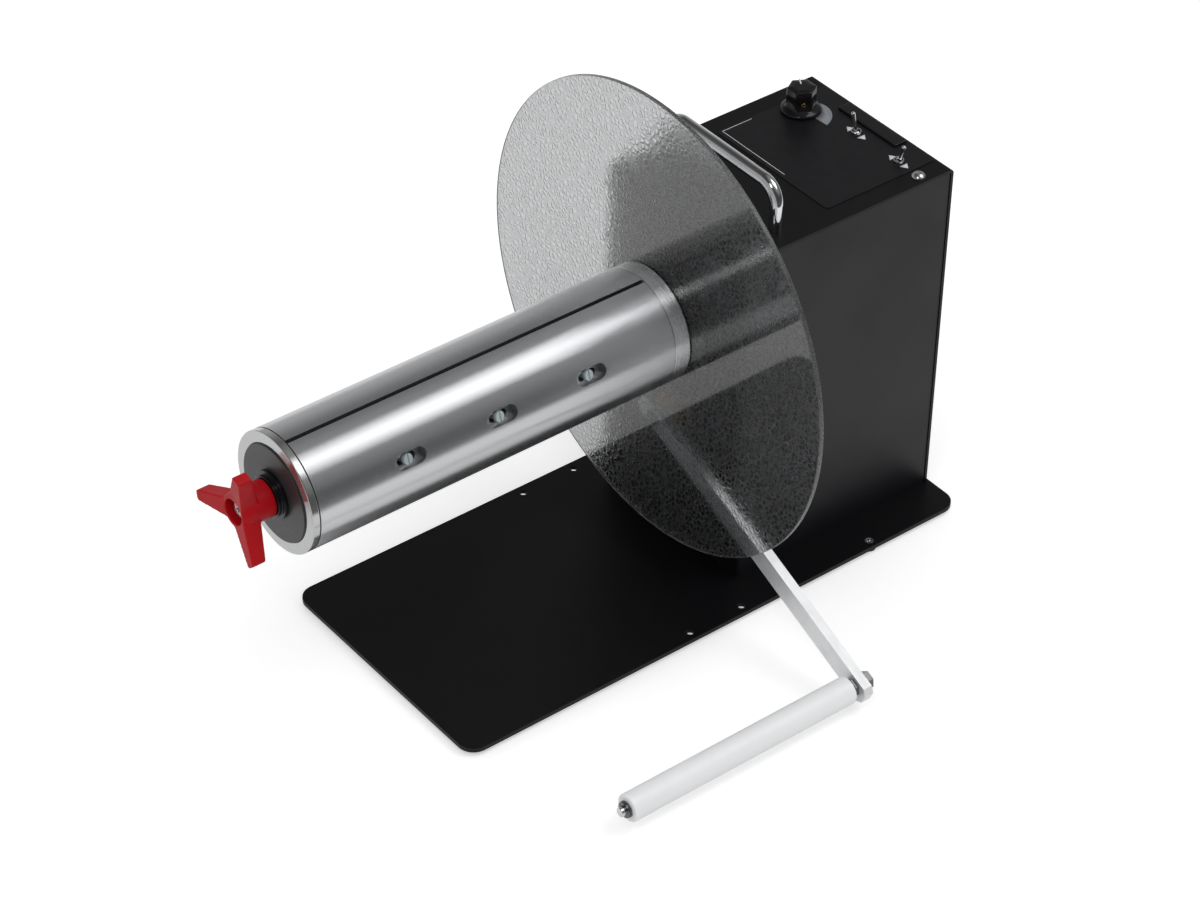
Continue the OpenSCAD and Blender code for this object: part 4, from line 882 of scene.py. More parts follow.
def mesh_piece(name: str, bm: bmesh.types.BMesh, finishes: Sequence[Finish]) -> bpy.types.Object:
    """Turns an edited mesh into a smooth-shaded object.

    Args:
        name: Name of the piece.
        bm: The mesh in millimetres, which is freed.
        finishes: Finishes by material index.

    Returns:
        The object, linked to the scene.
    """
    bmesh.ops.scale(bm, vec=(MM,) * 3, verts=bm.verts)
    bmesh.ops.recalc_face_normals(bm, faces=bm.faces)
    for face in bm.faces:
        face.smooth = True
    mesh = bpy.data.meshes.new(name)
    bm.to_mesh(mesh)
    bm.free()
    for finish in finishes:
        mesh.materials.append(material_of(finish))
    return placed(name, mesh)


def ease_edges(piece: bpy.types.Object, width: float, rounds: int = 2,
               limit: float = 32.0) -> bpy.types.Object:
    """Rounds the sharp edges of a piece and keeps its flats flat.

    Args:
        piece: The piece.
        width: Width of the rounding in millimetres.
        rounds: Steps of the rounding.
        limit: Least angle of an edge that is rounded, in degrees.

    Returns:
        The piece.
    """
    bevel = piece.modifiers.new("eased edges", "BEVEL")
    bevel.width = width * MM
    bevel.segments = rounds
    bevel.limit_method = "ANGLE"
    bevel.angle_limit = math.radians(limit)
    bevel.use_clamp_overlap = True
    flats = piece.modifiers.new("flat faces", "WEIGHTED_NORMAL")
    flats.keep_sharp = False
    return piece


def node_mesh(node: str) -> bmesh.types.BMesh:
    """Clean copy of a node's mesh in millimetres, with its flat faces joined.

    Args:
        node: Name of the node.

    Returns:
        The mesh.
    """
    bm = bmesh.new()
    bm.from_mesh(frame["nodes"][node].data)
    bmesh.ops.scale(bm, vec=(1.0 / MM,) * 3, verts=bm.verts)
    bmesh.ops.remove_doubles(bm, verts=bm.verts, dist=0.002)
    bmesh.ops.dissolve_limit(bm, angle_limit=math.radians(0.5), verts=bm.verts, edges=bm.edges)
    return bm


def eased_node(name: str, node: str, finish: Finish, width: float, rounds: int = 2,
               limit: float = 32.0) -> bpy.types.Object:
    """Piece that follows a node, with its edges rounded.

    Args:
        name: Name of the piece.
        node: Node that it stands for.
        finish: Its finish.
        width: Width of the rounding in millimetres.
        rounds: Steps of the rounding.
        limit: Least angle of an edge that is rounded, in degrees.

    Returns:
        The piece, seated on the node's body.
    """
    piece = ease_edges(mesh_piece(name, node_mesh(node), [finish]), width, rounds, limit)
    return seat(piece, node, node, finish=finish)


def lathe(profile: Sequence[tuple[float, float]], centre: Vector, along: Vector,
          steps: int = 96) -> bmesh.types.BMesh:
    """Turns a closed profile round an axis.

    Args:
        profile: Corners as place along the axis and radius, in order.
        centre: Point on the axis where the place is 0.
        along: Direction of the axis.
        steps: Number of facets round the axis.

    Returns:
        The turned mesh.
    """
    bm = bmesh.new()
    axis = along.normalized()
    side = axis.orthogonal().normalized()
    other = axis.cross(side)
    rings = []
    for place, radius in profile:
        if radius < 1e-6:
            rings.append([bm.verts.new(centre + axis * place)])
            continue
        rings.append([bm.verts.new(centre + axis * place + radius * (
            side * math.cos(2 * math.pi * k / steps) + other * math.sin(2 * math.pi * k / steps)))
            for k in range(steps)])
    closed = profile[0][1] > 1e-6 or profile[-1][1] > 1e-6
    pairs = list(zip(rings, rings[1:])) + ([(rings[-1], rings[0])] if closed else [])
    for low, high in pairs:
        for k in range(steps):
            after = k + 1
            corners = (low[k % len(low)], low[after % len(low)], high[after % len(high)], high[k % len(high)])
            unique = list(dict.fromkeys(corners))
            if len(unique) > 2:
                bm.faces.new(unique)
    return bm


def extruded(outline: Sequence[tuple[float, float]], low: float, high: float) -> bmesh.types.BMesh:
    """Flat plate with an outline in X and Y.

    Args:
        outline: Corners in order.
        low: Height of its underside.
        high: Height of its top.

    Returns:
        The mesh.
    """
    bm = bmesh.new()
    bottom = [bm.verts.new((x, y, low)) for x, y in outline]
    top = [bm.verts.new((x, y, high)) for x, y in outline]
    bm.faces.new(bottom[::-1])
    bm.faces.new(top)
    count = len(outline)
    for i in range(count):
        bm.faces.new((bottom[i], bottom[(i + 1) % count], top[(i + 1) % count], top[i]))
    return bm


def wire_piece(name: str, points: Sequence[Vector], radius: float, finish: Finish) -> bpy.types.Object:
    """Round wire along points.

    Args:
        name: Name of the piece.
        points: Places of its middle line in millimetres.
        radius: Radius of the wire in millimetres.
        finish: Its finish.

    Returns:
        The curve's object.
    """
    curve = bpy.data.curves.new(name, "CURVE")
    curve.dimensions = "3D"
    curve.bevel_depth = radius * MM
    curve.bevel_resolution = 3
    curve.use_fill_caps = True
    line = curve.splines.new("POLY")
    line.points.add(len(points) - 1)
    for place, point in zip(line.points, points):
        place.co = (*(point * MM), 1.0)
    curve.materials.append(material_of(finish))
    return placed(name, curve)


# Sub-assemblies


class SubAssembly:
    """Pieces that are made and finished together."""

    title = "sub-assembly"

    def build(self) -> Iterable[str]:
        """Makes the pieces and gives their names.

        Returns:
            The pieces' names.
        """
        raise NotImplementedError


@dataclass
class Studio(SubAssembly):
    """Floor, lamps, surroundings and the camera.

    Attributes:
        camera_at: Place of the camera.
        azimuth: Direction of the camera round the part, in degrees.
        elevation: Height of the camera over the horizon, in degrees.
        roll: Turn of the picture, in degrees.
        lens: Focal length.
        floor_drop: Distance of the floor under the base plate.
        floor_size: Side of the floor.
        soft: Brightness of the even light.
        dim: Brightness of the dark studio that polished pieces mirror.
        left_glow: Brightness that the lit left side adds to it.
        halo: Brightness round the softbox.
        key_from: Direction from the part to the large softbox behind it.
        front_from: Direction from the part to the small softbox in front of it.
        lamp_distance: Distance of both softboxes from the spindle.
        key_side: Side of the large softbox.
        key_brightness: Brightness of its face, where 1 is white.
        front_side: Side of the small softbox.
        front_brightness: Brightness of its face.
        floor_tone: Colour of the floor near the part.
        far_tone: Colour of the floor past the table's edge.
        floor_glow: Brightness that metal mirrors in the floor near the part.
        through_sheet: Brightness of the background behind the clear sheet.
        floor_through_sheet: The same for the floor near the part, beside the light that falls on it.
        floor_white: The same for the camera's own view of the floor near the part.
        table_edge: Place along X where the pale table ends.
        edge_blur: Half the width of its fading edge.
    """

    camera_at: Corner = (1357.4, -1114.6, 1477.1)
    azimuth: float = 51.295
    elevation: float = 38.515
    roll: float = 1.031
    lens: float = 111.45
    floor_drop: float = 3.0
    floor_size: float = 14000.0
    soft: float = 0.68
    dim: float = 0.06
    left_glow: float = 0.36
    halo: float = 0.26
    key_from: Corner = (0.345, 0.47, 0.81)
    front_from: Corner = (0.345, -0.47, 0.81)
    lamp_distance: float = 2300.0
    key_side: float = 1250.0
    key_brightness: float = 2.1
    front_side: float = 600.0
    front_brightness: float = 3.6
    floor_tone: Colour = (0.8, 0.8, 0.8)
    far_tone: Colour = (0.09, 0.09, 0.09)
    floor_glow: float = 0.2
    through_sheet: float = 0.6
    floor_through_sheet: float = 0.07
    floor_white: float = 0.45
    table_edge: float = 520.0
    edge_blur: float = 90.0
    title = "studio"

    def build(self) -> Iterable[str]:
        """Sets up the scene round the part.

        Returns:
            The pieces' names.
        """
        scene = bpy.context.scene
        scene.view_settings.view_transform = "Standard"
        self.camera(scene)
        self.floor()
        self.surroundings(scene)
        self.lamp("key softbox", self.key_from, self.key_side, self.key_brightness)
        self.lamp("front softbox", self.front_from, self.front_side, self.front_brightness)
        return ["camera", "floor", "lamps"]

    def camera(self, scene: bpy.types.Scene) -> None:
        """Places the camera at the photograph's viewing angle.

        Args:
            scene: The scene.
        """
        azimuth, elevation, roll = (math.radians(a) for a in (self.azimuth, self.elevation, self.roll))
        level = math.cos(elevation)
        back = Vector((math.sin(azimuth) * level, -math.cos(azimuth) * level, math.sin(elevation)))
        right = Vector((math.cos(azimuth), math.sin(azimuth), 0.0))
        up = back.cross(right)
        across = right * math.cos(roll) + up * math.sin(roll)
        over = up * math.cos(roll) - right * math.sin(roll)
        data = bpy.data.cameras.new("camera")
        data.lens = self.lens
        data.clip_end = 100.0
        camera = placed("camera", data)
        turn = Matrix((across, over, back)).transposed().to_4x4()
        camera.matrix_world = Matrix.Translation(Vector(self.camera_at) * MM) @ turn
        scene.camera = camera

    def floor(self) -> None:
        """Lays a pale floor that shows white to the camera and keeps the shadow."""
        half = self.floor_size / 2
        corners = ((-half, -half), (half, -half), (half, half), (-half, half))
        mesh = bpy.data.meshes.new("floor")
        mesh.from_pydata([(x * MM, y * MM, -self.floor_drop * MM) for x, y in corners], [], [(0, 1, 2, 3)])
        mesh.materials.append(self.floor_material())
        placed("floor", mesh)

    def floor_material(self) -> bpy.types.Material:
        """Material of the floor, with its own brightness for each kind of ray.

        Returns:
            The material.
        """
        g = SurfaceGraph("pale floor")
        along_x = g.parts(g.place())[0]
        beyond = g.ramp(along_x, self.table_edge - self.edge_blur, self.table_edge + self.edge_blur)
        g.surface(Base_Color=g.blend(beyond, self.floor_tone, self.far_tone), Roughness=0.9,
                  Specular_IOR_Level=0.0)
        rays = g.add("ShaderNodeLightPath")
        white = g.add("ShaderNodeEmission")
        levels = (("Is Camera Ray", self.floor_white, 1.0), ("Is Glossy Ray", self.floor_glow, 0.0),
                  ("Is Transmission Ray", self.floor_through_sheet, self.through_sheet))
        level = 0.0
        for ray, near, far in levels:
            share = g.calc("MULTIPLY", rays.outputs[ray], g.ramp(beyond, 0.0, 1.0, near, far))
            level = g.calc("ADD", level, share)
        g.feed(white.inputs["Strength"], level)
        join = g.add("ShaderNodeAddShader")
        g.feed(join.inputs[0], g.shader.outputs[0])
        g.feed(join.inputs[1], white.outputs[0])
        g.feed(g.output.inputs[0], join.outputs[0])
        return g.material

    def seen_share(self, g: Graph, rays: bpy.types.Node) -> bpy.types.NodeSocket:
        """How white the background shows: fully to the camera, less through clear plastic.

        Args:
            g: Node tree of the background.
            rays: Its light path node.

        Returns:
            The share's socket.
        """
        through = g.calc("MULTIPLY", rays.outputs["Is Transmission Ray"], self.through_sheet)
        return g.calc("MAXIMUM", rays.outputs["Is Camera Ray"], through)

    def surroundings(self, scene: bpy.types.Scene) -> None:
        """White background, even soft light, and a dim studio that polished pieces mirror.

        Args:
            scene: The scene.
        """
        world = bpy.data.worlds.new("studio")
        world.use_nodes = True
        g = Graph(world.node_tree)
        output = g.add("ShaderNodeOutputWorld")
        light = g.add("ShaderNodeBackground")
        rays = g.add("ShaderNodeLightPath")
        seen = self.seen_share(g, rays)
        glossy = rays.outputs["Is Glossy Ray"]
        shade = g.calc("ADD", g.calc("MULTIPLY", glossy, self.mirrored_studio(g)),
                       g.calc("MULTIPLY", g.calc("SUBTRACT", 1.0, glossy), self.soft))
        unseen = g.calc("SUBTRACT", 1.0, g.calc("CEIL", seen))
        g.feed(light.inputs["Color"], (1.0, 1.0, 1.0))
        g.feed(light.inputs["Strength"], g.calc("ADD", seen, g.calc("MULTIPLY", unseen, shade)))
        g.feed(output.inputs[0], light.outputs[0])
        scene.world = world

    def mirrored_studio(self, g: Graph) -> bpy.types.NodeSocket:
        """Brightness that polished pieces mirror: dim, with a lit left side and a halo round the key lamp.

        Args:
            g: Node tree of the background.

        Returns:
            The brightness's socket.
        """
        toward = g.add("ShaderNodeTexCoord").outputs["Generated"]
        sides = g.parts(toward)
        left = g.ramp(g.calc("MULTIPLY", sides[0], -1.0), -0.25, 0.7)
        low = g.ramp(sides[2], 0.2, 0.82, 1.0, 0.0)
        glow = g.calc("MULTIPLY", g.calc("MULTIPLY", left, low), self.left_glow)
        near_key = g.vector("DOT_PRODUCT", toward, tuple(Vector(self.key_from).normalized()))
        halo = g.ramp(near_key, 0.64, 0.96, 0.0, self.halo, smooth=False)
        return g.calc("ADD", g.calc("ADD", glow, halo), self.dim)

    def lamp(self, name: str, toward: Corner, side: float, brightness: float) -> None:
        """Hangs a square soft lamp that shines on the part.

        Args:
            name: Name of the lamp.
            toward: Direction from the part to the lamp.
            side: Side of the lamp.
            brightness: Brightness of its face, where 1 is white.
        """
        data = bpy.data.lights.new(name, "AREA")
        data.shape = "SQUARE"
        data.size = side * MM
        data.energy = brightness * math.pi * (side * MM) ** 2
        lamp = placed(name, data)
        direction = Vector(toward).normalized()
        lamp.location = (Vector((0.0, 0.0, AXIS[1])) + direction * self.lamp_distance) * MM
        lamp.rotation_euler = direction.to_track_quat("Z", "Y").to_euler()
        lamp.visible_camera = False


@dataclass
class BasePlate(SubAssembly):
    """Steel plate on four rubber feet.

    Attributes:
        edge: Rounding of the plate's edges.
        foot_edge: Rounding of a foot.
    """

    edge: float = 0.45
    foot_edge: float = 1.0
    title = "base plate"

    def build(self) -> Iterable[str]:
        """Makes the plate, its feet and its screws.

        Returns:
            The pieces' names.
        """
        yield eased_node("painted_base_plate", "base_plate", BLACK_PAINT, self.edge).name
        yield eased_node("moulded_feet", "rubber_feet", RUBBER, self.foot_edge, rounds=3, limit=50.0).name
        yield eased_node("foot_screws", "rear_foot_screws", ZINC, 0.12).name
        yield dress("base_screws", ZINC)


@dataclass
class Housing(SubAssembly):
    """Folded cover, two side panels and the screws and plates that hold them.

    Attributes:
        cut_edge: Rounding of the cover's cut edges.
        panel_edge: Rounding of the panels' edges.
    """

    cut_edge: float = 0.55
    panel_edge: float = 0.3
    title = "housing"

    def build(self) -> Iterable[str]:
        """Makes cover, panels and screws.

        Returns:
            The pieces' names.
        """
        yield eased_node("painted_cover", "box_cover", BLACK_PAINT, self.cut_edge).name
        yield eased_node("painted_right_panel", "right_side_panel", PANEL_PAINT, self.panel_edge).name
        yield eased_node("painted_left_panel", "left_side_panel", PANEL_PAINT, self.panel_edge).name
        yield eased_node("button_head_screws", "top_screws", ZINC, 0.2).name
        yield eased_node("housing_front_screws", "bearing_block_screws", DARK_STEEL, 0.2).name
        yield dress("front_plate", ZINC)
        yield dress("bearing_block", HOUSING_METAL)


@dataclass
class CarryHandle(SubAssembly):
    """Chromed carry handle and its screws."""

    title = "carry handle"

    def build(self) -> Iterable[str]:
        """Makes the rod and its screws.

        Returns:
            The pieces' names.
        """
        yield eased_node("chromed_handle", "carry_handle", CHROME, 0.3, limit=50.0).name
        yield dress("handle_screws", ZINC)


@dataclass
class ControlPanel(SubAssembly):
    """Overlay with its marks, the torque knob, the two switches and the bare badge.

    Attributes:
        ink: Thickness of the ink.
        line: Width of a printed line.
        crescent_inner: Inner radius of the grey crescent.
        crescent_start: Its narrow end, in degrees.
        crescent_end: Its wide end, in degrees.
        crescent_narrow: Outer radius at the narrow end.
        crescent_wide: Outer radius at the wide end.
        arrow_gap: Distance from a switch's middle to the foot of an arrow.
        arrow_length: Length of an arrow.
        arrow_half: Half the width of an arrow.
        bracket_along: Length of the corner line along the front edge.
        bracket_up: Length of the corner line along the left edge.
        bracket_in: Distance of its corner from the overlay's left edge.
        bracket_back: Distance of its corner from the overlay's front edge.
        ball: Radius of a lever's ball.
        plated_depth: Depth under the box's top from which the switches are plated.
        grip: Radius of the torque knob's grip.
        flats: Number of its hollow flats.
        hollow: Depth of their hollow.
        facets: Facets round the knob.
        pointer_turn: Direction of the knob's pointer over the right-hand side, in degrees.
        pointer_start: Distance from the knob's axis to the near end of the pointer.
        pointer_half: Half the width of the pointer.
        screw_height: Height of the set screw over the box.
        screw_sunk: Depth of the set screw in the grip.
    """

    ink: float = 0.06
    line: float = 0.4
    crescent_inner: float = 12.6
    crescent_start: float = 84.0
    crescent_end: float = 4.0
    crescent_narrow: float = 12.8
    crescent_wide: float = 22.6
    arrow_gap: float = 4.3
    arrow_length: float = 4.4
    arrow_half: float = 3.0
    bracket_along: float = 57.6
    bracket_up: float = 23.0
    bracket_in: float = 1.8
    bracket_back: float = 2.9
    ball: float = 2.0
    plated_depth: float = 1.9
    grip: float = 9.3
    flats: int = 6
    hollow: float = 0.12
    facets: int = 144
    pointer_turn: float = 150.0
    pointer_start: float = 2.6
    pointer_half: float = 0.45
    screw_height: float = 7.6
    screw_sunk: float = 1.0
    title = "control panel"

    def build(self) -> Iterable[str]:
        """Makes overlay, marks, knob, switches and badge.

        Returns:
            The pieces' names.
        """
        yield eased_node("overlay_film", "control_overlay", OVERLAY_FILM, 0.12, rounds=1).name
        yield eased_node("bare_badge", "badge_plate", GLOSS_BLACK, 0.5, rounds=3).name
        yield self.crescent()
        yield from self.arrows()
        yield self.corner_line()
        yield from self.torque_knob()
        yield eased_node("dial_bushing", "torque_potentiometer", ZINC, 0.15).name
        yield dress("torque_knob_shaft", ZINC)
        yield self.switches()
        yield eased_node("direction_lever_chrome", "direction_toggle", CHROME, 0.05).name
        yield eased_node("torque_lever_chrome", "torque_toggle", CHROME, 0.05).name

    def printed(self, name: str, outline: Sequence[tuple[float, float]], finish: Finish) -> str:
        """Prints a flat mark on the overlay.

        Args:
            name: Name of the mark.
            outline: Its corners in X and Y.
            finish: Its ink.

        Returns:
            The mark's name.
        """
        top = box_of("control_overlay")[1].z
        piece = mesh_piece(name, extruded(outline, top - self.ink, top + self.ink), [finish])
        return seat(piece, "control_overlay", finish=finish).name

    def crescent(self) -> str:
        """Prints the crescent that widens round the torque knob.

        Returns:
            The mark's name.
        """
        low, high = box_of("torque_knob_shaft")
        x, y = (low.x + high.x) / 2, (low.y + high.y) / 2
        steps = 24
        sweep = self.crescent_end - self.crescent_start
        widen = self.crescent_wide - self.crescent_narrow
        inner = []
        outer = []
        for k in range(steps + 1):
            turn = math.radians(self.crescent_start + sweep * k / steps)
            reach = self.crescent_narrow + widen * (k / steps) ** 0.7
            outer.append((x + reach * math.cos(turn), y + reach * math.sin(turn)))
            inner.append((x + self.crescent_inner * math.cos(turn), y + self.crescent_inner * math.sin(turn)))
        return self.printed("torque_crescent", outer + inner[::-1], GREY_INK)

    def arrows(self) -> Iterable[str]:
        """Prints an arrow on each side of both switches.

        Returns:
            The marks' names.
        """
        for lever, word in (("direction_toggle", "direction"), ("torque_toggle", "torque")):
            pivot = self.lever_pivot(lever)
            for side, hand in ((-1, "left"), (1, "right")):
                foot = pivot.x + side * self.arrow_gap
                tip = foot + side * self.arrow_length
                near, far = pivot.y - self.arrow_half, pivot.y + self.arrow_half
                outline = [(foot, near), (tip, pivot.y), (foot, far)]
                yield self.printed(f"{word}_arrow_{hand}", outline[::side], WHITE_INK)

    def corner_line(self) -> str:
        """Prints the line round the overlay's front left corner.

        Returns:
            The mark's name.
        """
        corner = box_of("control_overlay")[0] + Vector((self.bracket_in, self.bracket_back, 0.0))
        x, y = corner.x, corner.y
        end_x, end_y = x + self.bracket_along, y + self.bracket_up
        outline = [(x, y), (end_x, y), (end_x, y + self.line), (x + self.line, y + self.line),
                   (x + self.line, end_y), (x, end_y)]
        return self.printed("corner_line", outline, WHITE_INK)

    def lever_pivot(self, lever: str) -> Vector:
        """Middle of a switch, from its lever's ball.

        Args:
            lever: Node of the lever.

        Returns:
            The pivot in millimetres.
        """
        low = box_of(lever)[0]
        verts = [v.co / MM for v in frame["nodes"][lever].data.vertices]
        foot = [v for v in verts if v.z < low.z + self.ball]
        return Vector(((min(v.x for v in foot) + max(v.x for v in foot)) / 2,
                       (min(v.y for v in foot) + max(v.y for v in foot)) / 2, low.z + self.ball))

    def grip_radius(self, angle: float, share: float) -> float:
        """Radius of the torque knob's grip, with hollow flats between round ribs.

        Args:
            angle: Direction from the knob's axis.
            share: Height as a share of the knob's height.

        Returns:
            The radius in millimetres.
        """
        half = math.pi / self.flats
        within = (angle - math.radians(self.pointer_turn) + half) % (2 * half) - half
        flat = self.grip * math.cos(half) / math.cos(within)
        hollow = self.hollow * math.cos(self.flats / 2 * within) ** 2
        return min(flat + 0.25, self.grip) * (1.02 - 0.05 * share) - hollow

    def knob_levels(self, skirt: float, tall: float) -> list[tuple[float, float, float]]:
        """Height, radius and share of fluting at each level of the torque knob.

        Args:
            skirt: Radius of the knob's skirt.
            tall: Height of the knob.

        Returns:
            The levels from the bottom to the top.
        """
        grip = self.grip
        return [(0.0, skirt - 0.5, 0.0), (0.4, skirt, 0.0), (1.2, skirt, 0.0), (2.0, skirt - 0.5, 0.0),
                (2.6, skirt - 1.8, 0.0), (3.1, grip + 0.5, 0.4), (3.7, grip, 1.0), (tall * 0.6, grip, 1.0),
                (tall - 0.9, grip, 1.0), (tall - 0.25, grip - 0.5, 1.0), (tall, grip - 1.3, 1.0),
                (tall, grip * 0.5, 1.0)]

    def knob_mesh(self, centre: Vector, skirt: float, tall: float) -> bmesh.types.BMesh:
        """Mesh of the skirted torque knob.

        Args:
            centre: Middle of its underside.
            skirt: Radius of its skirt.
            tall: Height of the knob.

        Returns:
            The mesh.
        """
        bm = bmesh.new()
        rings = []
        for level, radius, fluted in self.knob_levels(skirt, tall):
            ring = []
            for k in range(self.facets):
                angle = 2 * math.pi * k / self.facets
                shaped = self.grip_radius(angle, level / tall) - (self.grip - radius)
                reach = radius + (shaped - radius) * fluted
                place = Vector((reach * math.cos(angle), reach * math.sin(angle), level))
                ring.append(bm.verts.new(centre + place))
            rings.append(ring)
        for low, high in zip(rings, rings[1:]):
            for k in range(self.facets):
                after = (k + 1) % self.facets
                bm.faces.new((low[k], low[after], high[after], high[k]))
        bm.faces.new(rings[-1])
        bm.faces.new(rings[0][::-1])
        return bm

    def torque_knob(self) -> Iterable[str]:
        """Makes the fluted knob with its pointer and set screw.

        Returns:
            The pieces' names.
        """
        low, high = box_of("torque_knob")
        centre = Vector(((low.x + high.x) / 2, (low.y + high.y) / 2, low.z))
        skirt, tall = (high.x - low.x) / 2, high.z - low.z
        knob = mesh_piece("fluted_torque_knob", self.knob_mesh(centre, skirt, tall), [GLOSS_BLACK])
        yield seat(knob, "torque_knob", "torque_knob", finish=GLOSS_BLACK).name
        turn = math.radians(self.pointer_turn)
        along = Vector((math.cos(turn), math.sin(turn), 0.0))
        side = Vector((-along.y, along.x, 0.0)) * self.pointer_half
        near, far = centre + along * self.pointer_start, centre + along * (self.grip - 1.0)
        outline = [corner.to_2d()[:] for corner in (near - side, far - side, far + side, near + side)]
        line = mesh_piece("knob_pointer", extruded(outline, high.z - 0.1, high.z + 0.03), [WHITE_INK])
        yield seat(line, "torque_knob", finish=WHITE_INK).name
        sunk = self.grip_radius(turn + math.pi, self.screw_height / tall) - self.screw_sunk
        screw_from = centre - along * sunk + Vector((0.0, 0.0, self.screw_height))
        profile = [(0.0, 0.0), (0.0, 1.5), (0.9, 1.5), (1.15, 1.2), (1.15, 0.7), (0.5, 0.45), (0.5, 0.0)]
        screw = mesh_piece("knob_set_screw", lathe(profile, screw_from, -along, 32), [BRASS])
        yield seat(screw, "torque_knob", finish=BRASS).name

    def switches(self) -> str:
        """Makes both switch bodies, black below the cover and plated above it.

        Returns:
            The piece's name.
        """
        cover_top = box_of("box_cover")[1].z
        bm = node_mesh("toggle_switches")
        for face in bm.faces:
            plated = face.calc_center_median().z > cover_top - self.plated_depth
            face.material_index = 1 if plated else 0
        piece = mesh_piece("switch_bodies", bm, [SATIN_BLACK, CHROME])
        seat(ease_edges(piece, 0.12), "toggle_switches", "toggle_switches", finish=CHROME)
        return piece.name


@dataclass
class Chuck(SubAssembly):
    """Expanding chuck: shells, rings, wedge core and its screws.

    Attributes:
        shell_edge: Rounding of the shells' edges.
        ring_edge: Rounding of the front ring's edges.
        turned_share: How well a face of a shell looks outward, from 0 to 1, if it was turned; the other faces
            take the milled metal with painted shade.
    """

    shell_edge: float = 0.4
    ring_edge: float = 0.7
    turned_share: float = 0.9
    title = "chuck"

    def build(self) -> Iterable[str]:
        """Makes shells, rings and inner pieces.

        Returns:
            The pieces' names.
        """
        for number in (1, 2, 3):
            yield self.shell(number)
        yield eased_node("front_ring_polished", "chuck_front_ring", RING_METAL, self.ring_edge,
                         limit=60.0).name
        yield eased_node("rear_ring_polished", "chuck_rear_ring", REAR_METAL, 0.3).name
        yield eased_node("slotted_screws", "shell_screws", SCREW_ZINC, 0.15).name
        yield eased_node("end_face_plate", "end_disc", END_FACE, 0.4).name
        yield eased_node("stepped_collar", "thrust_collar", GLOSS_BLACK, 0.35).name
        yield dress("wedge_core", GROUND_STEEL)
        yield dress("draw_nut", BRASS)
        yield dress("cross_pin", ZINC)
        yield dress("draw_screw", GROUND_STEEL)

    def shell(self, number: int) -> str:
        """Makes a shell, turned outside and milled dull in its slots and on its ends, which are also painted
        darker as shade.

        Args:
            number: Number of the shell.

        Returns:
            The shell's name.
        """
        node = f"chuck_shell_{number}"
        bm = node_mesh(node)
        bm.normal_update()
        for face in bm.faces:
            middle = face.calc_center_median()
            outward = Vector((middle.x - AXIS[0], 0.0, middle.z - AXIS[1])).normalized()
            # Faces that don't look outward get the milled metal, painted darker as shade in the slots and on
            # the ends.
            face.material_index = 0 if face.normal.dot(outward) > self.turned_share else 1
        piece = mesh_piece(f"turned_shell_{number}", bm, [SHELL_METAL, SHADED_SLOT_METAL])
        return seat(ease_edges(piece, self.shell_edge), node, node, finish=SHELL_METAL).name


@dataclass
class WingKnob(SubAssembly):
    """Red three-armed knob with the screw in its recess.

    Attributes:
        voxel: Grid of the moulded surface.
        passes: Smoothing passes of the moulded surface.
    """

    voxel: float = 0.45
    passes: int = 9
    title = "wing knob"

    def build(self) -> Iterable[str]:
        """Makes the moulded knob and its screw.

        Returns:
            The pieces' names.
        """
        bm = node_mesh("wing_knob")
        knob = mesh_piece("moulded_wing_knob", bm, [RED_PLASTIC])
        skin = knob.modifiers.new("moulded skin", "REMESH")
        skin.mode = "VOXEL"
        skin.voxel_size = self.voxel * MM
        skin.use_smooth_shade = True
        soften = knob.modifiers.new("soft corners", "SMOOTH")
        soften.factor = 0.5
        soften.iterations = self.passes
        seat(knob, "wing_knob", "wing_knob", finish=RED_PLASTIC)
        yield knob.name
        yield eased_node("recess_screw", "knob_screw", ZINC, 0.25).name


@dataclass
class SideFlange(SubAssembly):
    """Clear flange with its gasket, hub and screws.

    Attributes:
        rim_edge: Rounding of the sheet's rim.
        bore: Radius of the sheet's bore.
        steps: Facets round the rim.
    """

    rim_edge: float = 0.5
    bore: float = 14.0
    steps: int = 240
    title = "side flange"

    def build(self) -> Iterable[str]:
        """Makes the sheet and what holds it.

        Returns:
            The pieces' names.
        """
        yield self.sheet()
        yield eased_node("dark_gasket", "flange_gasket", RUBBER, 0.1, rounds=1).name
        yield eased_node("flange_hub_turned", "flange_hub", DARK_STEEL, 0.4).name
        yield eased_node("hub_screws", "flange_screws", ZINC, 0.2).name

    def sheet(self) -> str:
        """Makes the clear sheet with its glossy, pebbled and sawn sides.

        Returns:
            The piece's name.
        """
        low, high = box_of("flange_disc")
        centre = Vector(((low.x + high.x) / 2, low.y, (low.z + high.z) / 2))
        outer, thick = (high.x - low.x) / 2, high.y - low.y
        edge, corner = self.rim_edge, self.rim_edge * 0.3
        half_profile = [(0.0, self.bore), (0.0, outer - edge), (corner, outer - corner), (edge, outer)]
        profile = half_profile + [(thick - place, radius) for place, radius in half_profile[::-1]]
        bm = lathe(profile, centre, Vector((0.0, 1.0, 0.0)), self.steps)
        for face in bm.faces:
            middle = face.calc_center_median()
            in_front = middle.y - low.y < edge
            at_rim = (middle - centre).length > outer - 2 * edge
            face.material_index = 2 if at_rim else (0 if in_front else 1)
        piece = mesh_piece("clear_flange", bm, [SHEET_FRONT, SHEET_BACK, SHEET_RIM])
        flats = piece.modifiers.new("flat faces", "WEIGHTED_NORMAL")
        flats.keep_sharp = False
        return seat(piece, "flange_disc", "flange_disc", finish=SHEET_FRONT).name


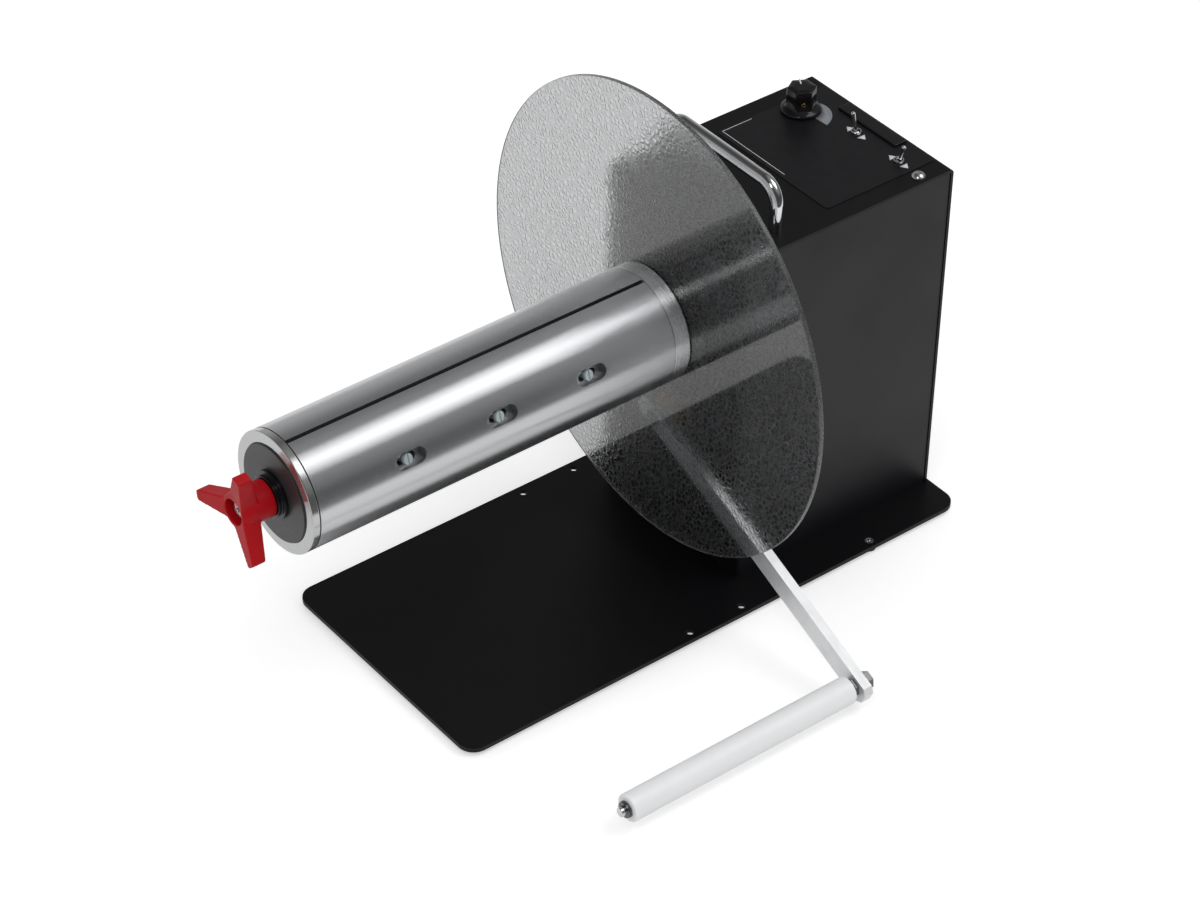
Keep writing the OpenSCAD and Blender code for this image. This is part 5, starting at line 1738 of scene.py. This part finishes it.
@dataclass
class TensionArm(SubAssembly):
    """Dancer arm with its roller, shaft, bush, stops, spring and sensor.

    Attributes:
        bar_edge: Rounding of the bar.
        roller_edge: Rounding of the roller's ends.
        spring_wire: Diameter of the return spring's wire.
        spring_turns: Turns of the spring.
        spring_steps: Points in each turn.
    """

    bar_edge: float = 0.35
    roller_edge: float = 0.9
    spring_wire: float = 1.4
    spring_turns: int = 5
    spring_steps: int = 32
    title = "tension arm"

    def build(self) -> Iterable[str]:
        """Makes arm, roller and what carries them.

        Returns:
            The pieces' names.
        """
        yield eased_node("drawn_arm_bar", "tension_arm", ARM_BAR, self.bar_edge).name
        yield eased_node("acetal_roller", "guide_roller", WHITE_PLASTIC, self.roller_edge, rounds=3,
                         limit=50.0).name
        yield eased_node("roller_axle", "roller_shaft", ZINC, 0.3, rounds=1).name
        yield eased_node("arm_nuts_and_washers", "arm_fasteners", DARK_STEEL, 0.2).name
        yield eased_node("arm_axle", "arm_shaft", GROUND_STEEL, 0.3).name
        yield eased_node("flanged_bush", "arm_bush", BRASS, 0.3).name
        yield dress("stop_pins", ZINC)
        yield dress("arm_position_sensor", SATIN_BLACK)
        yield self.spring()

    def spring(self) -> str:
        """Winds the return spring round the arm's shaft.

        Returns:
            The piece's name.
        """
        low, high = box_of("arm_return_spring")
        pivot = box_of("arm_bush")
        x, z = (pivot[0].x + pivot[1].x) / 2, (pivot[0].z + pivot[1].z) / 2
        half_wire = self.spring_wire / 2
        coil = (high.x - low.x) / 2 - half_wire
        start, end = low.y + half_wire, high.y - half_wire
        count = self.spring_turns * self.spring_steps
        points = []
        for k in range(count + 1):
            turn = 2 * math.pi * k / self.spring_steps
            along = start + (end - start) * k / count
            points.append(Vector((x + coil * math.cos(turn), along, z + coil * math.sin(turn))))
        tang = Vector((0.0, 0.0, z - low.z - half_wire))
        points = [points[0] - tang, *points, points[-1] + tang]
        piece = wire_piece("wound_return_spring", points, half_wire, ZINC)
        return seat(piece, "arm_return_spring", "arm_return_spring", finish=ZINC).name


@dataclass
class Drive(SubAssembly):
    """Spindle, bearings, gears, motor, board and inlet inside the box."""

    title = "drive"

    def build(self) -> Iterable[str]:
        """Dresses what the box holds.

        Returns:
            The pieces' names.
        """
        finishes = {"main_shaft": GROUND_STEEL, "bearing_inner_rings": GROUND_STEEL,
                    "ball_bearings": GROUND_STEEL, "spindle_gear": BRASS, "motor_bracket": ZINC,
                    "gear_motor": DARK_STEEL, "motor_screws": ZINC, "motor_pinion": GROUND_STEEL,
                    "control_board": BOARD, "board_standoffs": BRASS}
        for node, finish in finishes.items():
            yield dress(node, finish)
        yield eased_node("inlet_socket", "power_inlet", SATIN_BLACK, 0.3).name


def main() -> None:
    """Builds every sub-assembly in order and reports its pieces."""
    logging.basicConfig(level=logging.INFO, format="%(message)s")
    for part in (Studio(), BasePlate(), Housing(), CarryHandle(), ControlPanel(), Chuck(), WingKnob(),
                 SideFlange(), TensionArm(), Drive()):
        for piece in part.build():
            LOG.info("%s: %s", part.title, piece)


if __name__ == "__main__":
    main()
